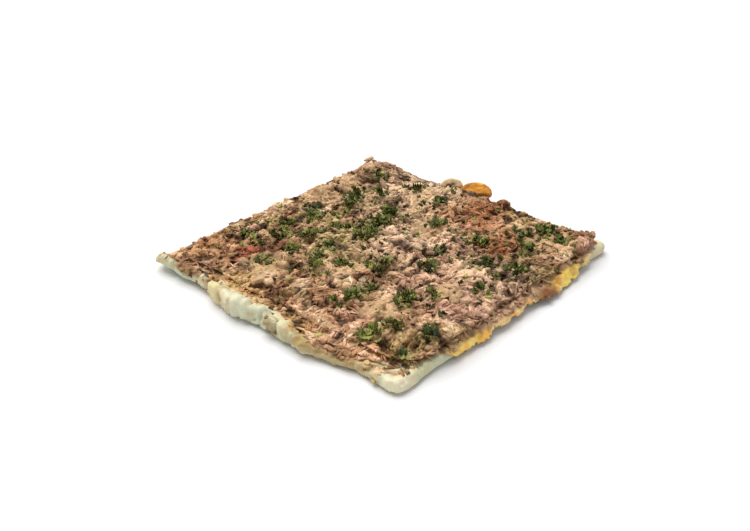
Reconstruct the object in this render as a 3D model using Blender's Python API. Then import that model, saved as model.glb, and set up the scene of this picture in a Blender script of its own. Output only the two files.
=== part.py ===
"""A square slice of pizza topped with shredded roast beef, in metres.

+Z is up and the slice lies on its flat base, whose centre is the origin. The front (-Y) and the
right (+X) are the cut sides. Bottom to top it is dough, a sheet of melted cheese, and a matted heap
of shredded beef with sliced mushrooms and parsley bedded in it.
"""

import itertools
import math
import random

import bmesh
import bpy
from mathutils import Matrix, Vector, noise
from mathutils.bvhtree import BVHTree

MM = 0.001

# Driving sizes
SLICE_X = 180 * MM
SLICE_Y = 184 * MM
CORNER_RADIUS = 4.5 * MM
DOUGH_TOP = 5.5 * MM
CHEESE_TOP = 7.5 * MM
BEEF_DEPTH = 5.6 * MM
GAP = 0.35 * MM
POCKET_GAP = 0.4 * MM
SEED = 4

# How finely the outlines are divided
POINTS_PER_SIDE = {"front": 27, "right": 25, "back": 12, "left": 12}
POINTS_PER_CORNER = 2
BEEF_CELLS = 23

# The dough's rim: its height on each side, and how far it swells and waves
RIM_FRONT = 8.2 * MM
RIM_RIGHT = 6.0 * MM
RIM_BACK = 5.6 * MM
RIM_LEFT = 5.0 * MM
RIM_LUMPS = 1.1 * MM
EDGE_WAVE = 1.5 * MM
EDGE_SWELL = 1.2 * MM
BELLY = 6.4 * MM
BELLY_X = (-46 * MM, 38 * MM)
LEFT_OUT = 3.4 * MM
RIGHT_OUT = 1.6 * MM
REST_INSET = 42 * MM

# The underside curls up at the front left corner and in a notch beside it
CURL_CENTRE = Vector((-90, -92)) * MM
CURL_REACH = 52 * MM
CURL_LIFT = 3.4 * MM
NOTCH_X = -52 * MM
NOTCH_HALF_WIDTH = 9 * MM
NOTCH_LIFT = 2.2 * MM
EDGE_CURL = 0.5 * MM

# Cheese baked onto the front of the rim, as (place along it, half width, how far it stands out)
RIM_BLOBS = (
    (-39 * MM, 8 * MM, 1.6 * MM),
    (34 * MM, 7 * MM, 1.0 * MM),
)

# Cheese: how far short of the rim's top it stops, and where it runs over, as
# (side, y, half width, reach past the rim's top, how far it stands off the dough)
CHEESE_INSET = {"front": 3.2 * MM, "right": 1.0 * MM, "back": 1.0 * MM, "left": 1.0 * MM}
CHEESE_RUNS = (
    ("right", -46 * MM, 13 * MM, 7.0 * MM, 1.0 * MM),
    ("right", -31 * MM, 7 * MM, 6.2 * MM, 3.6 * MM),
    ("right", -8 * MM, 17 * MM, 4.8 * MM, 3.0 * MM),
    ("right", 14 * MM, 9 * MM, 5.2 * MM, 3.4 * MM),
    ("right", 25 * MM, 6 * MM, 6.6 * MM, 7.4 * MM),
    ("right", 41 * MM, 14 * MM, 7.4 * MM, 5.6 * MM),
    ("right", 64 * MM, 12 * MM, 4.6 * MM, 2.2 * MM),
)
# The dough's bare front right corner: where it is, how far it reaches, how far the cheese draws back
CHEESE_CORNER = Vector((90, -92)) * MM
CHEESE_CORNER_REACH = 34 * MM
CHEESE_CORNER_BACK = 7 * MM
CHEESE_THICK = CHEESE_TOP - DOUGH_TOP - GAP
CHEESE_RAGGED = 1.2 * MM
CHEESE_RINGS = 6
CHEESE_BUNCH = 0.25 * MM
CHEESE_LOWEST = 0.8 * MM
PUSH_ROUNDS = 12
PUSH_SPOTS = 5
PUSH_SLACK = 0.05 * MM

# Beef: the core's hump and lump heights, and single rises and hollows as (x, y, radius, height)
BEEF_EDGE_INSET = {"front": 6.5 * MM, "right": -1.0 * MM, "back": 4 * MM, "left": 4.6 * MM}
BEEF_EDGE_WAVE = 2.4 * MM
BEEF_EDGE_SHARE = {"front": 0.22, "right": 0.6, "back": 0.4, "left": 0.2}
BEEF_SHOULDER = {"front": 17 * MM, "right": 7 * MM, "back": 9 * MM, "left": 16 * MM}
# How far the beef draws back diagonally from the bare corner and from the other three
BARE_CORNER = 6 * MM
ROUND_CORNER = 3 * MM
HUMP_WAVELENGTH = 36 * MM
HUMP_HEIGHT = 2.2 * MM
LUMP_WAVELENGTH = 14 * MM
LUMP_HEIGHT = 3.0 * MM
LEAST_DEPTH = 1.8 * MM
# The heap's foot: how far around it the ground is felt, its clearance, and its rings inwards
GROUND_REACH = 3.2 * MM
FOOT_GAP = 0.7 * MM
BASE_RINGS = (0.985, 0.89)
BEEF_RISES = (
    (0 * MM, 74 * MM, 22 * MM, 4.2 * MM),
    (24 * MM, 76 * MM, 9 * MM, 1.2 * MM),
    (-76 * MM, 74 * MM, 20 * MM, 4.2 * MM),
    (-83 * MM, 24 * MM, 13 * MM, 6.0 * MM),
    (-82 * MM, 38 * MM, 9 * MM, -4.0 * MM),
    (-84 * MM, -38 * MM, 34 * MM, -3.0 * MM),
    (46 * MM, 87 * MM, 16 * MM, -7.0 * MM),
    (69 * MM, 84 * MM, 8 * MM, 3.0 * MM),
    (-44 * MM, 87 * MM, 20 * MM, -4.0 * MM),
    (-84 * MM, 76 * MM, 8 * MM, 2.0 * MM),
    (-52 * MM, -52 * MM, 11 * MM, -1.6 * MM),
    (80 * MM, 78 * MM, 9 * MM, 2.6 * MM),
    (20 * MM, 0 * MM, 20 * MM, 1.4 * MM),
    (66 * MM, -66 * MM, 8 * MM, -1.8 * MM),
)

# Shreds of beef: one in each cell of a grid, and some thick chunks
SHRED_CELL = 14.8 * MM
SHRED_LENGTH = (15 * MM, 25 * MM)
SHRED_HALF_WIDTH = (1.1 * MM, 1.8 * MM)
SHRED_SPANS = 3
SHRED_MARGIN = 2.2 * MM
SHRED_FREE_CORNER = 22 * MM
SHRED_LOWEST = CHEESE_TOP + 2 * MM
FLOW_WAVELENGTH = 45 * MM
CHUNKS = (
    (26 * MM, 80 * MM, 5.4 * MM),
    (83 * MM, 83.5 * MM, 4.6 * MM),
    (-80 * MM, 80 * MM, 4.2 * MM),
    (70 * MM, -4 * MM, 4.6 * MM),
    (-12 * MM, 44 * MM, 4.4 * MM),
    (-6 * MM, -76 * MM, 3.8 * MM),
)
FLAKE_CELL = 36 * MM
FLAKE_SIZE = (4.0 * MM, 6.0 * MM)
FLAKE_THICK = 0.9 * MM

# Mushroom slices: (x, y, turn about Z, lean, cap width, thickness, sunk by). Half their height is
# given for a cap one wide.
MUSHROOMS = (
    (-13 * MM, 79 * MM, 35, 54, 13 * MM, 3.4 * MM, 2.4 * MM),
    (3 * MM, 83 * MM, 30, 50, 19 * MM, 6.0 * MM, 4.2 * MM),
    (-20 * MM, -73 * MM, 74, 14, 17 * MM, 3.0 * MM, 1.0 * MM),
)
MUSHROOM_HALF_HEIGHT = 0.31
# The stub of a slice that shows in the front side of the dough: its place, cap width, thickness, lean
STUB_PLACE = Vector((10, -96.5, 6.0)) * MM
STUB_WIDTH = 9 * MM
STUB_THICK = 6 * MM
STUB_TURN = 20

# Sprigs of curly parsley: (x, y, width, how far the frill stands up)
SPRIGS = (
    (56 * MM, -77 * MM, 12.5 * MM, 2.6 * MM),
    (27 * MM, -61 * MM, 13 * MM, 2.0 * MM),
    (49 * MM, -37 * MM, 14 * MM, 2.2 * MM),
    (-36 * MM, -23 * MM, 13 * MM, 2.0 * MM),
    (38 * MM, -7 * MM, 10 * MM, 1.6 * MM),
    (12 * MM, 36 * MM, 12 * MM, 1.8 * MM),
    (38 * MM, 38 * MM, 12 * MM, 2.4 * MM),
    (76 * MM, 25 * MM, 13 * MM, 2.0 * MM),
    (60 * MM, 72 * MM, 12 * MM, 4.6 * MM),
)
SPRIG_THICK = 0.8 * MM
SPRIG_LOBES = 13
SPRIG_CLEARANCE = 0.5 * MM

MATERIALS = {
    "dough": ((0.66, 0.60, 0.42), 0.75),
    "cheese": ((0.80, 0.55, 0.16), 0.40),
    "roast_beef": ((0.34, 0.19, 0.12), 0.50),
    "mushroom": ((0.62, 0.42, 0.24), 0.50),
    "parsley": ((0.07, 0.15, 0.03), 0.55),
}


def clear_scene():
    for obj in list(bpy.data.objects):
        bpy.data.objects.remove(obj)


def make_material(name):
    colour, roughness = MATERIALS[name]
    material = bpy.data.materials.new(name)
    material.use_nodes = True
    shader = material.node_tree.nodes["Principled BSDF"]
    shader.inputs["Base Color"].default_value = (*colour, 1)
    shader.inputs["Roughness"].default_value = roughness
    return material


def add_object(name, bm, material=None):
    """The bmesh as an object, with its faces pointing out."""
    bmesh.ops.recalc_face_normals(bm, faces=bm.faces)
    mesh = bpy.data.meshes.new(name)
    bm.to_mesh(mesh)
    bm.free()
    obj = bpy.data.objects.new(name, mesh)
    bpy.context.collection.objects.link(obj)
    if material:
        mesh.materials.append(material)
    return obj


def smooth_step(value):
    value = min(max(value, 0.0), 1.0)
    return value * value * (3 - 2 * value)


def bump(distance, reach):
    """1 at no distance, falling smoothly to 0 at reach."""
    return smooth_step(1 - abs(distance) / reach)


def wave(x, y, wavelength, layer):
    """Smooth noise from -1 to 1. Each layer is a different pattern."""
    return noise.noise(Vector((x / wavelength, y / wavelength, 7.3 * layer)))


# ---- Outlines -------------------------------------------------------------------------------


def rounded_rectangle(inset):
    """Points round the slice at that distance inside its edge, counterclockwise, each as
    (place, outward normal, side). Every inset gives the same number of points."""
    half_x, half_y = SLICE_X / 2 - inset, SLICE_Y / 2 - inset
    radius = max(CORNER_RADIUS - inset, 2 * MM)
    points = []
    sides = (("front", (1, 0)), ("right", (0, 1)), ("back", (-1, 0)), ("left", (0, -1)))
    for side, (along_x, along_y) in sides:
        along = Vector((along_x, along_y))
        out = Vector((along_y, -along_x))
        reach_out = half_y if along_x else half_x
        straight = (half_x if along_x else half_y) - radius
        count = POINTS_PER_SIDE[side]
        for i in range(count):
            place = out * reach_out + along * straight * (2 * i / (count - 1) - 1)
            points.append((place, out, side))
        corner = out * (reach_out - radius) + along * straight
        for i in range(POINTS_PER_CORNER):
            angle = math.pi / 2 * (i + 1) / (POINTS_PER_CORNER + 1)
            normal = out * math.cos(angle) + along * math.sin(angle)
            points.append((corner + normal * radius, normal, side))
    return points


def edge_wave(place):
    """How far the torn edge stands out of the plain rectangle."""
    broad = wave(place.x, place.y, 38 * MM, 1)
    fine = wave(place.x, place.y, 13 * MM, 2)
    front = bump(place.y + SLICE_Y / 2, 20 * MM)
    belly = smooth_step((place.x - BELLY_X[0]) / (20 * MM)) - smooth_step((place.x - BELLY_X[1]) / (16 * MM))
    left = smooth_step(-place.x / SLICE_X)
    right = smooth_step((place.x - BELLY_X[1]) / (10 * MM))
    out = BELLY * belly + LEFT_OUT * left + RIGHT_OUT * right
    blobs = sum(out * bump(place.x - x, half_width * 1.3) for x, half_width, out in RIM_BLOBS)
    return EDGE_WAVE * (broad + 0.7 * fine) + (out + blobs) * front


def rim_height(place, side):
    lumps = RIM_LUMPS * (wave(place.x, place.y, 17 * MM, 3) + 0.6 * wave(place.x, place.y, 8 * MM, 4))
    height = {"front": RIM_FRONT, "right": RIM_RIGHT, "back": RIM_BACK, "left": RIM_LEFT}[side]
    if side == "front":
        thin_end = smooth_step((place.x - 40 * MM) / (30 * MM))
        height += (RIM_RIGHT - RIM_FRONT) * thin_end
    tip = bump((place - CURL_CENTRE).length, 22 * MM)
    return height + lumps * (1 - 0.5 * tip)


def underside_lift(place):
    """How far the bottom skin stands off the table near the edge."""
    curl = CURL_LIFT * bump((place - CURL_CENTRE).length, CURL_REACH)
    front = bump(place.y + SLICE_Y / 2, 16 * MM)
    notch = NOTCH_LIFT * bump(place.x - NOTCH_X, NOTCH_HALF_WIDTH) * front
    return curl + notch


def loft(rings):
    """A closed solid through rings of equal length, with the first and last ring capped."""
    bm = bmesh.new()
    loops = [[bm.verts.new(point) for point in ring] for ring in rings]
    count = len(rings[0])
    for lower, upper in zip(loops, loops[1:]):
        for i in range(count):
            j = (i + 1) % count
            bm.faces.new((lower[i], lower[j], upper[j]))
            bm.faces.new((lower[i], upper[j], upper[i]))
    bm.faces.new(reversed(loops[0]))
    bm.faces.new(loops[-1])
    return bm


# ---- Dough ----------------------------------------------------------------------------------


def crust_rings():
    """The dough's rings, from the middle of the flat base round the edge to the middle of the top."""

    def ring(inset, height, wave_share):
        points = []
        for place, normal, side in rounded_rectangle(inset):
            spot = place + normal * edge_wave(place) * wave_share
            points.append(Vector((spot.x, spot.y, height(place, side))))
        return points

    def edge_point(share):
        def height(place, side):
            lift = underside_lift(place) + EDGE_CURL
            return lift + (rim_height(place, side) - lift) * share

        return height

    return [
        ring(REST_INSET, lambda place, side: 0, 0),
        ring(11 * MM, lambda place, side: 0.9 * underside_lift(place), 0),
        ring(1.6 * MM, lambda place, side: underside_lift(place) + EDGE_CURL, 0.8),
        ring(-0.4 * EDGE_SWELL, edge_point(0.25), 1),
        ring(-0.2 * EDGE_SWELL, edge_point(0.62), 1),
        ring(0.7 * MM, edge_point(0.93), 1),
        ring(2.7 * MM, rim_height, 1),
        ring(7.8 * MM, lambda place, side: DOUGH_TOP, 0.5),
        ring(REST_INSET, lambda place, side: DOUGH_TOP, 0),
    ]


# ---- Cheese ---------------------------------------------------------------------------------


def cheese_reach(place, side):
    """(reach, flare): how far the cheese's edge lies past the top of the rim, less than 0 where it
    stops short of it, and how far it stands off the dough there."""
    bare = CHEESE_CORNER_BACK * bump((place - CHEESE_CORNER).length, CHEESE_CORNER_REACH)
    reach, flare = -CHEESE_INSET[side] - bare, 0
    for run_side, centre, half_width, run_reach, run_flare in CHEESE_RUNS:
        if run_side == side:
            share = min(1, 1.5 * bump(place.y - centre, half_width * 1.5))
            reach = max(reach, -CHEESE_INSET[side] + (CHEESE_INSET[side] + run_reach) * share)
            flare = max(flare, run_flare * share)
    return reach + CHEESE_RAGGED * wave(place.x, place.y, 9 * MM, 5), flare


def walk(path, distance):
    """The point of path at that distance along it, and the outward direction there."""
    for start, end in zip(path, path[1:]):
        length = (end - start).length
        if distance <= length or end is path[-1]:
            along = (end - start) / length
            return start + along * distance, along
        distance -= length


def spots_on(a, b, c):
    """Points spread evenly over a triangle."""
    for i in range(PUSH_SPOTS + 1):
        for j in range(PUSH_SPOTS + 1 - i):
            yield (a * i + b * j + c * (PUSH_SPOTS - i - j)) / PUSH_SPOTS


def push_clear(rings, ups, surface):
    """Moves the rings' points along their ups until the faces between them clear the surface."""
    count = len(rings[0])
    for _ in range(PUSH_ROUNDS):
        pushes = {}
        for r, i in itertools.product(range(len(rings) - 1), range(count)):
            j = (i + 1) % count
            for corners in (((r, i), (r, j), (r + 1, j)), ((r, i), (r + 1, j), (r + 1, i))):
                for spot in spots_on(*(rings[ring][place] for ring, place in corners)):
                    nearest, normal, _, _ = surface.find_nearest(spot)
                    short = GAP - (spot - nearest).dot(normal)
                    if short > PUSH_SLACK:
                        for corner in corners:
                            pushes[corner] = max(pushes.get(corner, 0), short)
        for (ring, place), push in pushes.items():
            if ring > 1:
                rings[ring][place] = rings[ring][place] + ups[ring][place] * push


def cheese_mesh(surface):
    """The melted sheet, which lies on the dough and hangs over its edge in places."""
    top_to_base = crust_rings()[:1:-1]
    outline = rounded_rectangle(0)
    lower = [[] for _ in range(CHEESE_RINGS)]
    ups = [[] for _ in range(CHEESE_RINGS)]
    thicknesses = [[] for _ in range(CHEESE_RINGS)]
    for i, (place, normal, side) in enumerate(outline):
        path = [ring[i] for ring in top_to_base]
        out = Vector((*normal, 0))
        lengths = [(b - a).length for a, b in zip(path, path[1:])]
        stops = [sum(lengths[:ring]) for ring in range(CHEESE_RINGS)]
        reach, flare = cheese_reach(place, side)
        end = stops[2] + reach
        for ring in range(CHEESE_RINGS):
            distance = min(stops[ring], end - (CHEESE_RINGS - 1 - ring) * CHEESE_BUNCH)
            if ring == CHEESE_RINGS - 1:
                distance = end
            spot, along = walk(path, distance)
            up = (Vector((0, 0, 1)) * along.dot(out) - out * along.z).normalized()
            taper = smooth_step((end - distance + 0.6 * MM) / (3 * MM))
            lump = 1 + (0.25 * wave(spot.x, spot.y, 11 * MM, 6) if ring > 1 else 0)
            past = max(distance - stops[2], 0) / max(reach, 3 * MM)
            lower[ring].append(spot + up * GAP + out * flare * past**2)
            ups[ring].append(up)
            thicknesses[ring].append(CHEESE_THICK * lump * (0.35 + 0.65 * taper))
    push_clear(lower, ups, surface)
    upper = [
        [point + up * thick for point, up, thick in zip(*ring)]
        for ring in zip(lower, ups, thicknesses)
    ]
    for point in itertools.chain(*lower, *upper):
        point.z = max(point.z, CHEESE_LOWEST)
    return loft(lower + upper[::-1])


# ---- Beef -----------------------------------------------------------------------------------


def beef_place(u, v):
    """The spot of the beef's grid at u across and v back, each from -1 to 1."""
    left = -SLICE_X / 2 + BEEF_EDGE_INSET["left"]
    right = SLICE_X / 2 - BEEF_EDGE_INSET["right"]
    front = -SLICE_Y / 2 + BEEF_EDGE_INSET["front"]
    back = SLICE_Y / 2 - BEEF_EDGE_INSET["back"]
    spot = Vector(((left + right) / 2 + u * (right - left) / 2, (front + back) / 2 + v * (back - front) / 2))
    edge = max(abs(u), abs(v)) ** 8
    ragged = BEEF_EDGE_WAVE * wave(spot.x, spot.y, 15 * MM, 8) * edge
    corner = min(abs(u), abs(v)) ** 10
    bare = BARE_CORNER if (u > 0 and v < 0) else ROUND_CORNER
    inwards = Vector((-u, -v))
    return spot + inwards * (corner * bare + edge * BEEF_EDGE_WAVE * 0.4 + ragged)


def core_height(x, y):
    """Top of the heap without its shreds, away from its edge."""
    height = CHEESE_TOP + BEEF_DEPTH
    height += HUMP_HEIGHT * wave(x, y, HUMP_WAVELENGTH, 9)
    height += LUMP_HEIGHT * (wave(x, y, LUMP_WAVELENGTH, 10) - 0.6 * abs(wave(x, y, LUMP_WAVELENGTH, 12)))
    for centre_x, centre_y, radius, rise in BEEF_RISES:
        height += rise * bump(math.hypot(x - centre_x, y - centre_y), radius * 1.5)
    return height


def ground_height(ground, x, y):
    """The highest point of the dough and cheese close to x, y."""
    steps = [step * GROUND_REACH for step in (-1, -0.5, 0, 0.5, 1)]
    spots = [(x + dx, y + dy) for dx in steps for dy in steps]
    return max(height_at(surface, *spot) for surface in ground for spot in spots)


def edge_share(u, v):
    """How much of its full depth the heap has at u, v, by the nearer sides."""
    share = 1
    for side, to_edge in (("front", 1 + v), ("right", 1 - u), ("back", 1 - v), ("left", 1 + u)):
        least = BEEF_EDGE_SHARE[side]
        share *= least + (1 - least) * smooth_step(to_edge * SLICE_X / 2 / BEEF_SHOULDER[side])
    return share


def core_mesh(ground):
    """The bare heap: a bumpy top over a base that clears the ground, thinner towards its edge."""
    bm = bmesh.new()
    base_height = CHEESE_TOP + GAP
    top = []
    for row in range(BEEF_CELLS + 1):
        line = []
        for column in range(BEEF_CELLS + 1):
            u, v = 2 * column / BEEF_CELLS - 1, 2 * row / BEEF_CELLS - 1
            spot = beef_place(u, v)
            share = edge_share(u, v)
            foot = max(base_height, ground_height(ground, spot.x, spot.y) + GAP)
            height = foot + max((core_height(spot.x, spot.y) - base_height) * share, LEAST_DEPTH)
            line.append(bm.verts.new((spot.x, spot.y, height)))
        top.append(line)
    for row in range(BEEF_CELLS):
        for column in range(BEEF_CELLS):
            corners = (top[row][column], top[row][column + 1], top[row + 1][column + 1], top[row + 1][column])
            bm.faces.new(corners)
    border = top[0][:-1] + [line[-1] for line in top[:-1]] + top[-1][:0:-1] + [line[0] for line in top[:0:-1]]
    feet = []
    for share in BASE_RINGS:
        foot = []
        for vert in border:
            x, y = vert.co.x * share, vert.co.y * share
            height = min(ground_height(ground, x, y) + FOOT_GAP, vert.co.z - LEAST_DEPTH / 2)
            foot.append(bm.verts.new((x, y, base_height if share is BASE_RINGS[-1] else height)))
        feet.append(foot)
    for upper, lower in zip([border] + feet, feet):
        for i in range(len(border)):
            j = (i + 1) % len(border)
            bm.faces.new((lower[i], lower[j], upper[j], upper[i]))
    bm.faces.new(reversed(feet[-1]))
    bmesh.ops.triangulate(bm, faces=bm.faces)
    return bm


def flow_angle(x, y):
    """The way the shreds lie here: they swirl slowly across the slice."""
    return math.radians(115) + 2.6 * wave(x, y, FLOW_WAVELENGTH, 11)


def in_beef(x, y, margin):
    return (
        abs(x) < SLICE_X / 2 - BEEF_EDGE_INSET["left"] - margin
        and -SLICE_Y / 2 + BEEF_EDGE_INSET["front"] + margin < y
        and y < SLICE_Y / 2 - BEEF_EDGE_INSET["back"] - margin
        and math.hypot(x - SLICE_X / 2, y + SLICE_Y / 2) > SHRED_FREE_CORNER + margin
    )


def clear_of_toppings(x, y, margin):
    """True where no mushroom or sprig lies within margin."""
    for mushroom in MUSHROOMS:
        if math.hypot(x - mushroom[0], y - mushroom[1]) < mushroom[4] * 0.62 + margin:
            return False
    for sprig in SPRIGS:
        if math.hypot(x - sprig[0], y - sprig[1]) < sprig[2] * 0.6 + margin:
            return False
    return True


def tube(path, half_widths, half_heights):
    """A closed four-sided strip along path."""
    rings = []
    for i, point in enumerate(path):
        ahead = path[min(i + 1, len(path) - 1)] - path[max(i - 1, 0)]
        side = ahead.cross(Vector((0, 0, 1))).normalized()
        up = side.cross(ahead).normalized()
        wide, high = side * half_widths[i], up * half_heights[i]
        rings.append([point - wide, point - high, point + wide, point + high])
    return loft(rings)


def shred_mesh(draw, surface, x, y):
    """One shred that follows the heap, or None where it would meet a topping or leave the beef."""
    length = draw.uniform(*SHRED_LENGTH)
    half_width = draw.uniform(*SHRED_HALF_WIDTH)
    angle = flow_angle(x, y) + draw.uniform(-0.6, 0.6)
    turn = draw.uniform(-0.35, 0.35)
    spot = Vector((x, y)) - Vector((math.cos(angle), math.sin(angle))) * length / 2
    path, half_widths, half_heights = [], [], []
    for i in range(SHRED_SPANS + 1):
        height = height_at(surface, spot.x, spot.y)
        free = clear_of_toppings(spot.x, spot.y, half_width + 1.2 * MM)
        if not free or not in_beef(spot.x, spot.y, SHRED_MARGIN) or height < SHRED_LOWEST:
            return None
        share = 2 * i / SHRED_SPANS - 1
        thick = 1 - 0.6 * share * share
        lift = (0.8 - 1.5 * share * share) * half_width
        path.append(Vector((spot.x, spot.y, height + lift)))
        half_widths.append(half_width * thick)
        half_heights.append(half_width * 0.75 * thick)
        spot = spot + Vector((math.cos(angle), math.sin(angle))) * length / SHRED_SPANS
        angle += turn * 4 / SHRED_SPANS
    return tube(path, half_widths, half_heights)


def chunk_mesh(x, y, radius, surface):
    """A blocky lump of beef, half sunk in the heap."""
    bm = bmesh.new()
    bmesh.ops.create_icosphere(bm, subdivisions=2, radius=radius)
    centre = Vector((x, y, height_at(surface, x, y) + 0.15 * radius))
    for vert in bm.verts:
        lumpy = 1 + 0.35 * noise.noise(vert.co / radius * 1.3 + centre * 900)
        vert.co = Vector((vert.co.x, vert.co.y * 0.8, vert.co.z * 0.6)) * lumpy + centre
        vert.co.z = max(vert.co.z, CHEESE_TOP + 3 * MM)
    return bm


def flake_mesh(draw, surface, x, y):
    """A scrap of chopped parsley lying on the heap."""
    size = draw.uniform(*FLAKE_SIZE)
    turn = draw.uniform(0, math.tau)
    rings = [[], []]
    for i in range(6):
        angle = turn + math.tau * i / 6
        radius = size / 2 * (1.15 if i % 2 else 0.75)
        spot = Vector((x + radius * math.cos(angle), y + radius * math.sin(angle)))
        height = height_at(surface, spot.x, spot.y) + draw.uniform(0, 0.5) * MM
        rings[0].append(Vector((spot.x, spot.y, height - FLAKE_THICK * 0.7)))
        rings[1].append(Vector((spot.x, spot.y, height + FLAKE_THICK * 0.5)))
    return loft(rings)


def surface_of(obj):
    bm = bmesh.new()
    bm.from_mesh(obj.data)
    surface = BVHTree.FromBMesh(bm)
    bm.free()
    return surface


def height_at(surface, x, y):
    """The height of the surface there, or of the cheese outside it."""
    hit = surface.ray_cast(Vector((x, y, 0.1)), Vector((0, 0, -1)))[0]
    return hit.z if hit else CHEESE_TOP


def spread_over_beef(draw, cell):
    """One spot in each cell of a grid over the slice."""
    columns, rows = round(SLICE_X / cell), round(SLICE_Y / cell)
    for row in range(rows):
        for column in range(columns):
            x = SLICE_X * ((column + draw.uniform(0.2, 0.8)) / columns - 0.5)
            y = SLICE_Y * ((row + draw.uniform(0.2, 0.8)) / rows - 0.5)
            yield x, y


def fused_pieces(surface):
    """What is joined to the heap: chunks first, then shreds, then flakes of parsley."""
    draw = random.Random(SEED)
    pieces = [chunk_mesh(x, y, radius, surface) for x, y, radius in CHUNKS]
    for x, y in spread_over_beef(draw, SHRED_CELL):
        shred = shred_mesh(draw, surface, x, y)
        if shred:
            pieces.append(shred)
    for x, y in spread_over_beef(draw, FLAKE_CELL):
        if in_beef(x, y, 8 * MM) and clear_of_toppings(x, y, 4.2 * MM):
            pieces.append(flake_mesh(draw, surface, x, y))
    return pieces


# ---- Booleans -------------------------------------------------------------------------------


def apply_modifiers(obj):
    graph = bpy.context.evaluated_depsgraph_get()
    obj.data = bpy.data.meshes.new_from_object(obj.evaluated_get(graph))
    obj.modifiers.clear()


def keep_largest_shell(obj):
    """Drops loose scraps, and the inner shells of hollows that fusing sealed."""
    bm = bmesh.new()
    bm.from_mesh(obj.data)
    left = set(bm.verts)
    shells = []
    while left:
        shell, stack = set(), [left.pop()]
        while stack:
            vert = stack.pop()
            shell.add(vert)
            for edge in vert.link_edges:
                other = edge.other_vert(vert)
                if other in left:
                    left.remove(other)
                    stack.append(other)
        shells.append(shell)
    shells.sort(key=len)
    for shell in shells[:-1]:
        bmesh.ops.delete(bm, geom=list(shell), context="VERTS")
    bmesh.ops.triangulate(bm, faces=bm.faces)
    bm.to_mesh(obj.data)
    bm.free()


def combine(obj, piece_meshes, operation):
    """Joins the pieces to obj (UNION), or cuts them out of it (DIFFERENCE), in one Boolean."""
    collection = bpy.data.collections.new(obj.name + "_pieces")
    bpy.context.scene.collection.children.link(collection)
    for piece_mesh in piece_meshes:
        piece = add_object(obj.name + "_piece", piece_mesh)
        bpy.context.collection.objects.unlink(piece)
        collection.objects.link(piece)
    modifier = obj.modifiers.new("Combine", "BOOLEAN")
    modifier.operation = operation
    modifier.solver = "EXACT"
    modifier.operand_type = "COLLECTION"
    modifier.collection = collection
    apply_modifiers(obj)
    for piece in list(collection.objects):
        bpy.data.objects.remove(piece)
    bpy.data.collections.remove(collection)
    keep_largest_shell(obj)


# ---- Mushrooms and parsley ------------------------------------------------------------------


def slice_outline(width):
    """The outline of a slice through a mushroom, cap up: a dome, two curled rims and a stem."""
    cap = [(math.cos(a), 0.62 * math.sin(a)) for a in (math.pi * i / 9 for i in range(10))]
    left = [(-0.92, -0.16), (-0.55, -0.10), (-0.26, -0.20), (-0.24, -0.62)]
    stem_end = [(0.0, -0.70)]
    right = [(-x, y) for x, y in reversed(left)]
    return [Vector(point) * width / 2 for point in cap + left + stem_end + right]


def slice_mesh(width, thickness):
    """An upright slice that faces -Y, with its centre at the origin and softened edges."""
    outline = slice_outline(width)
    rings = []
    for depth, shrink in ((-0.5, 0.84), (-0.28, 1.0), (0.28, 1.0), (0.5, 0.84)):
        rings.append([Vector((point.x * shrink, depth * thickness, point.y * shrink)) for point in outline])
    bm = loft(rings)
    bmesh.ops.triangulate(bm, faces=bm.faces)
    return bm


def pocket_mesh(width, thickness):
    """The space cut for a slice: its hull, grown on all sides."""
    bm = slice_mesh(width, thickness)
    bmesh.ops.delete(bm, geom=list(bm.edges), context="EDGES_FACES")
    hull = bmesh.ops.convex_hull(bm, input=bm.verts)
    inside = set(hull["geom_interior"] + hull["geom_unused"])
    bmesh.ops.delete(bm, geom=[v for v in inside if isinstance(v, bmesh.types.BMVert)], context="VERTS")
    bmesh.ops.recalc_face_normals(bm, faces=bm.faces)
    bm.normal_update()
    moves = [(vert, vert.normal * vert.calc_shell_factor() * POCKET_GAP) for vert in bm.verts]
    for vert, move in moves:
        vert.co += move
    return bm


def mushroom_matrix(surface, x, y, turn, lean, width, sunk):
    """Leans the slice back by lean from upright, turns it, and sets it on the heap."""
    half_rise = MUSHROOM_HALF_HEIGHT * width * math.sin(math.radians(lean))
    centre = Vector((x, y, height_at(surface, x, y) + half_rise - sunk))
    return (
        Matrix.Translation(centre)
        @ Matrix.Rotation(math.radians(turn), 4, "Z")
        @ Matrix.Rotation(math.radians(lean - 90), 4, "X")
    )


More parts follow.
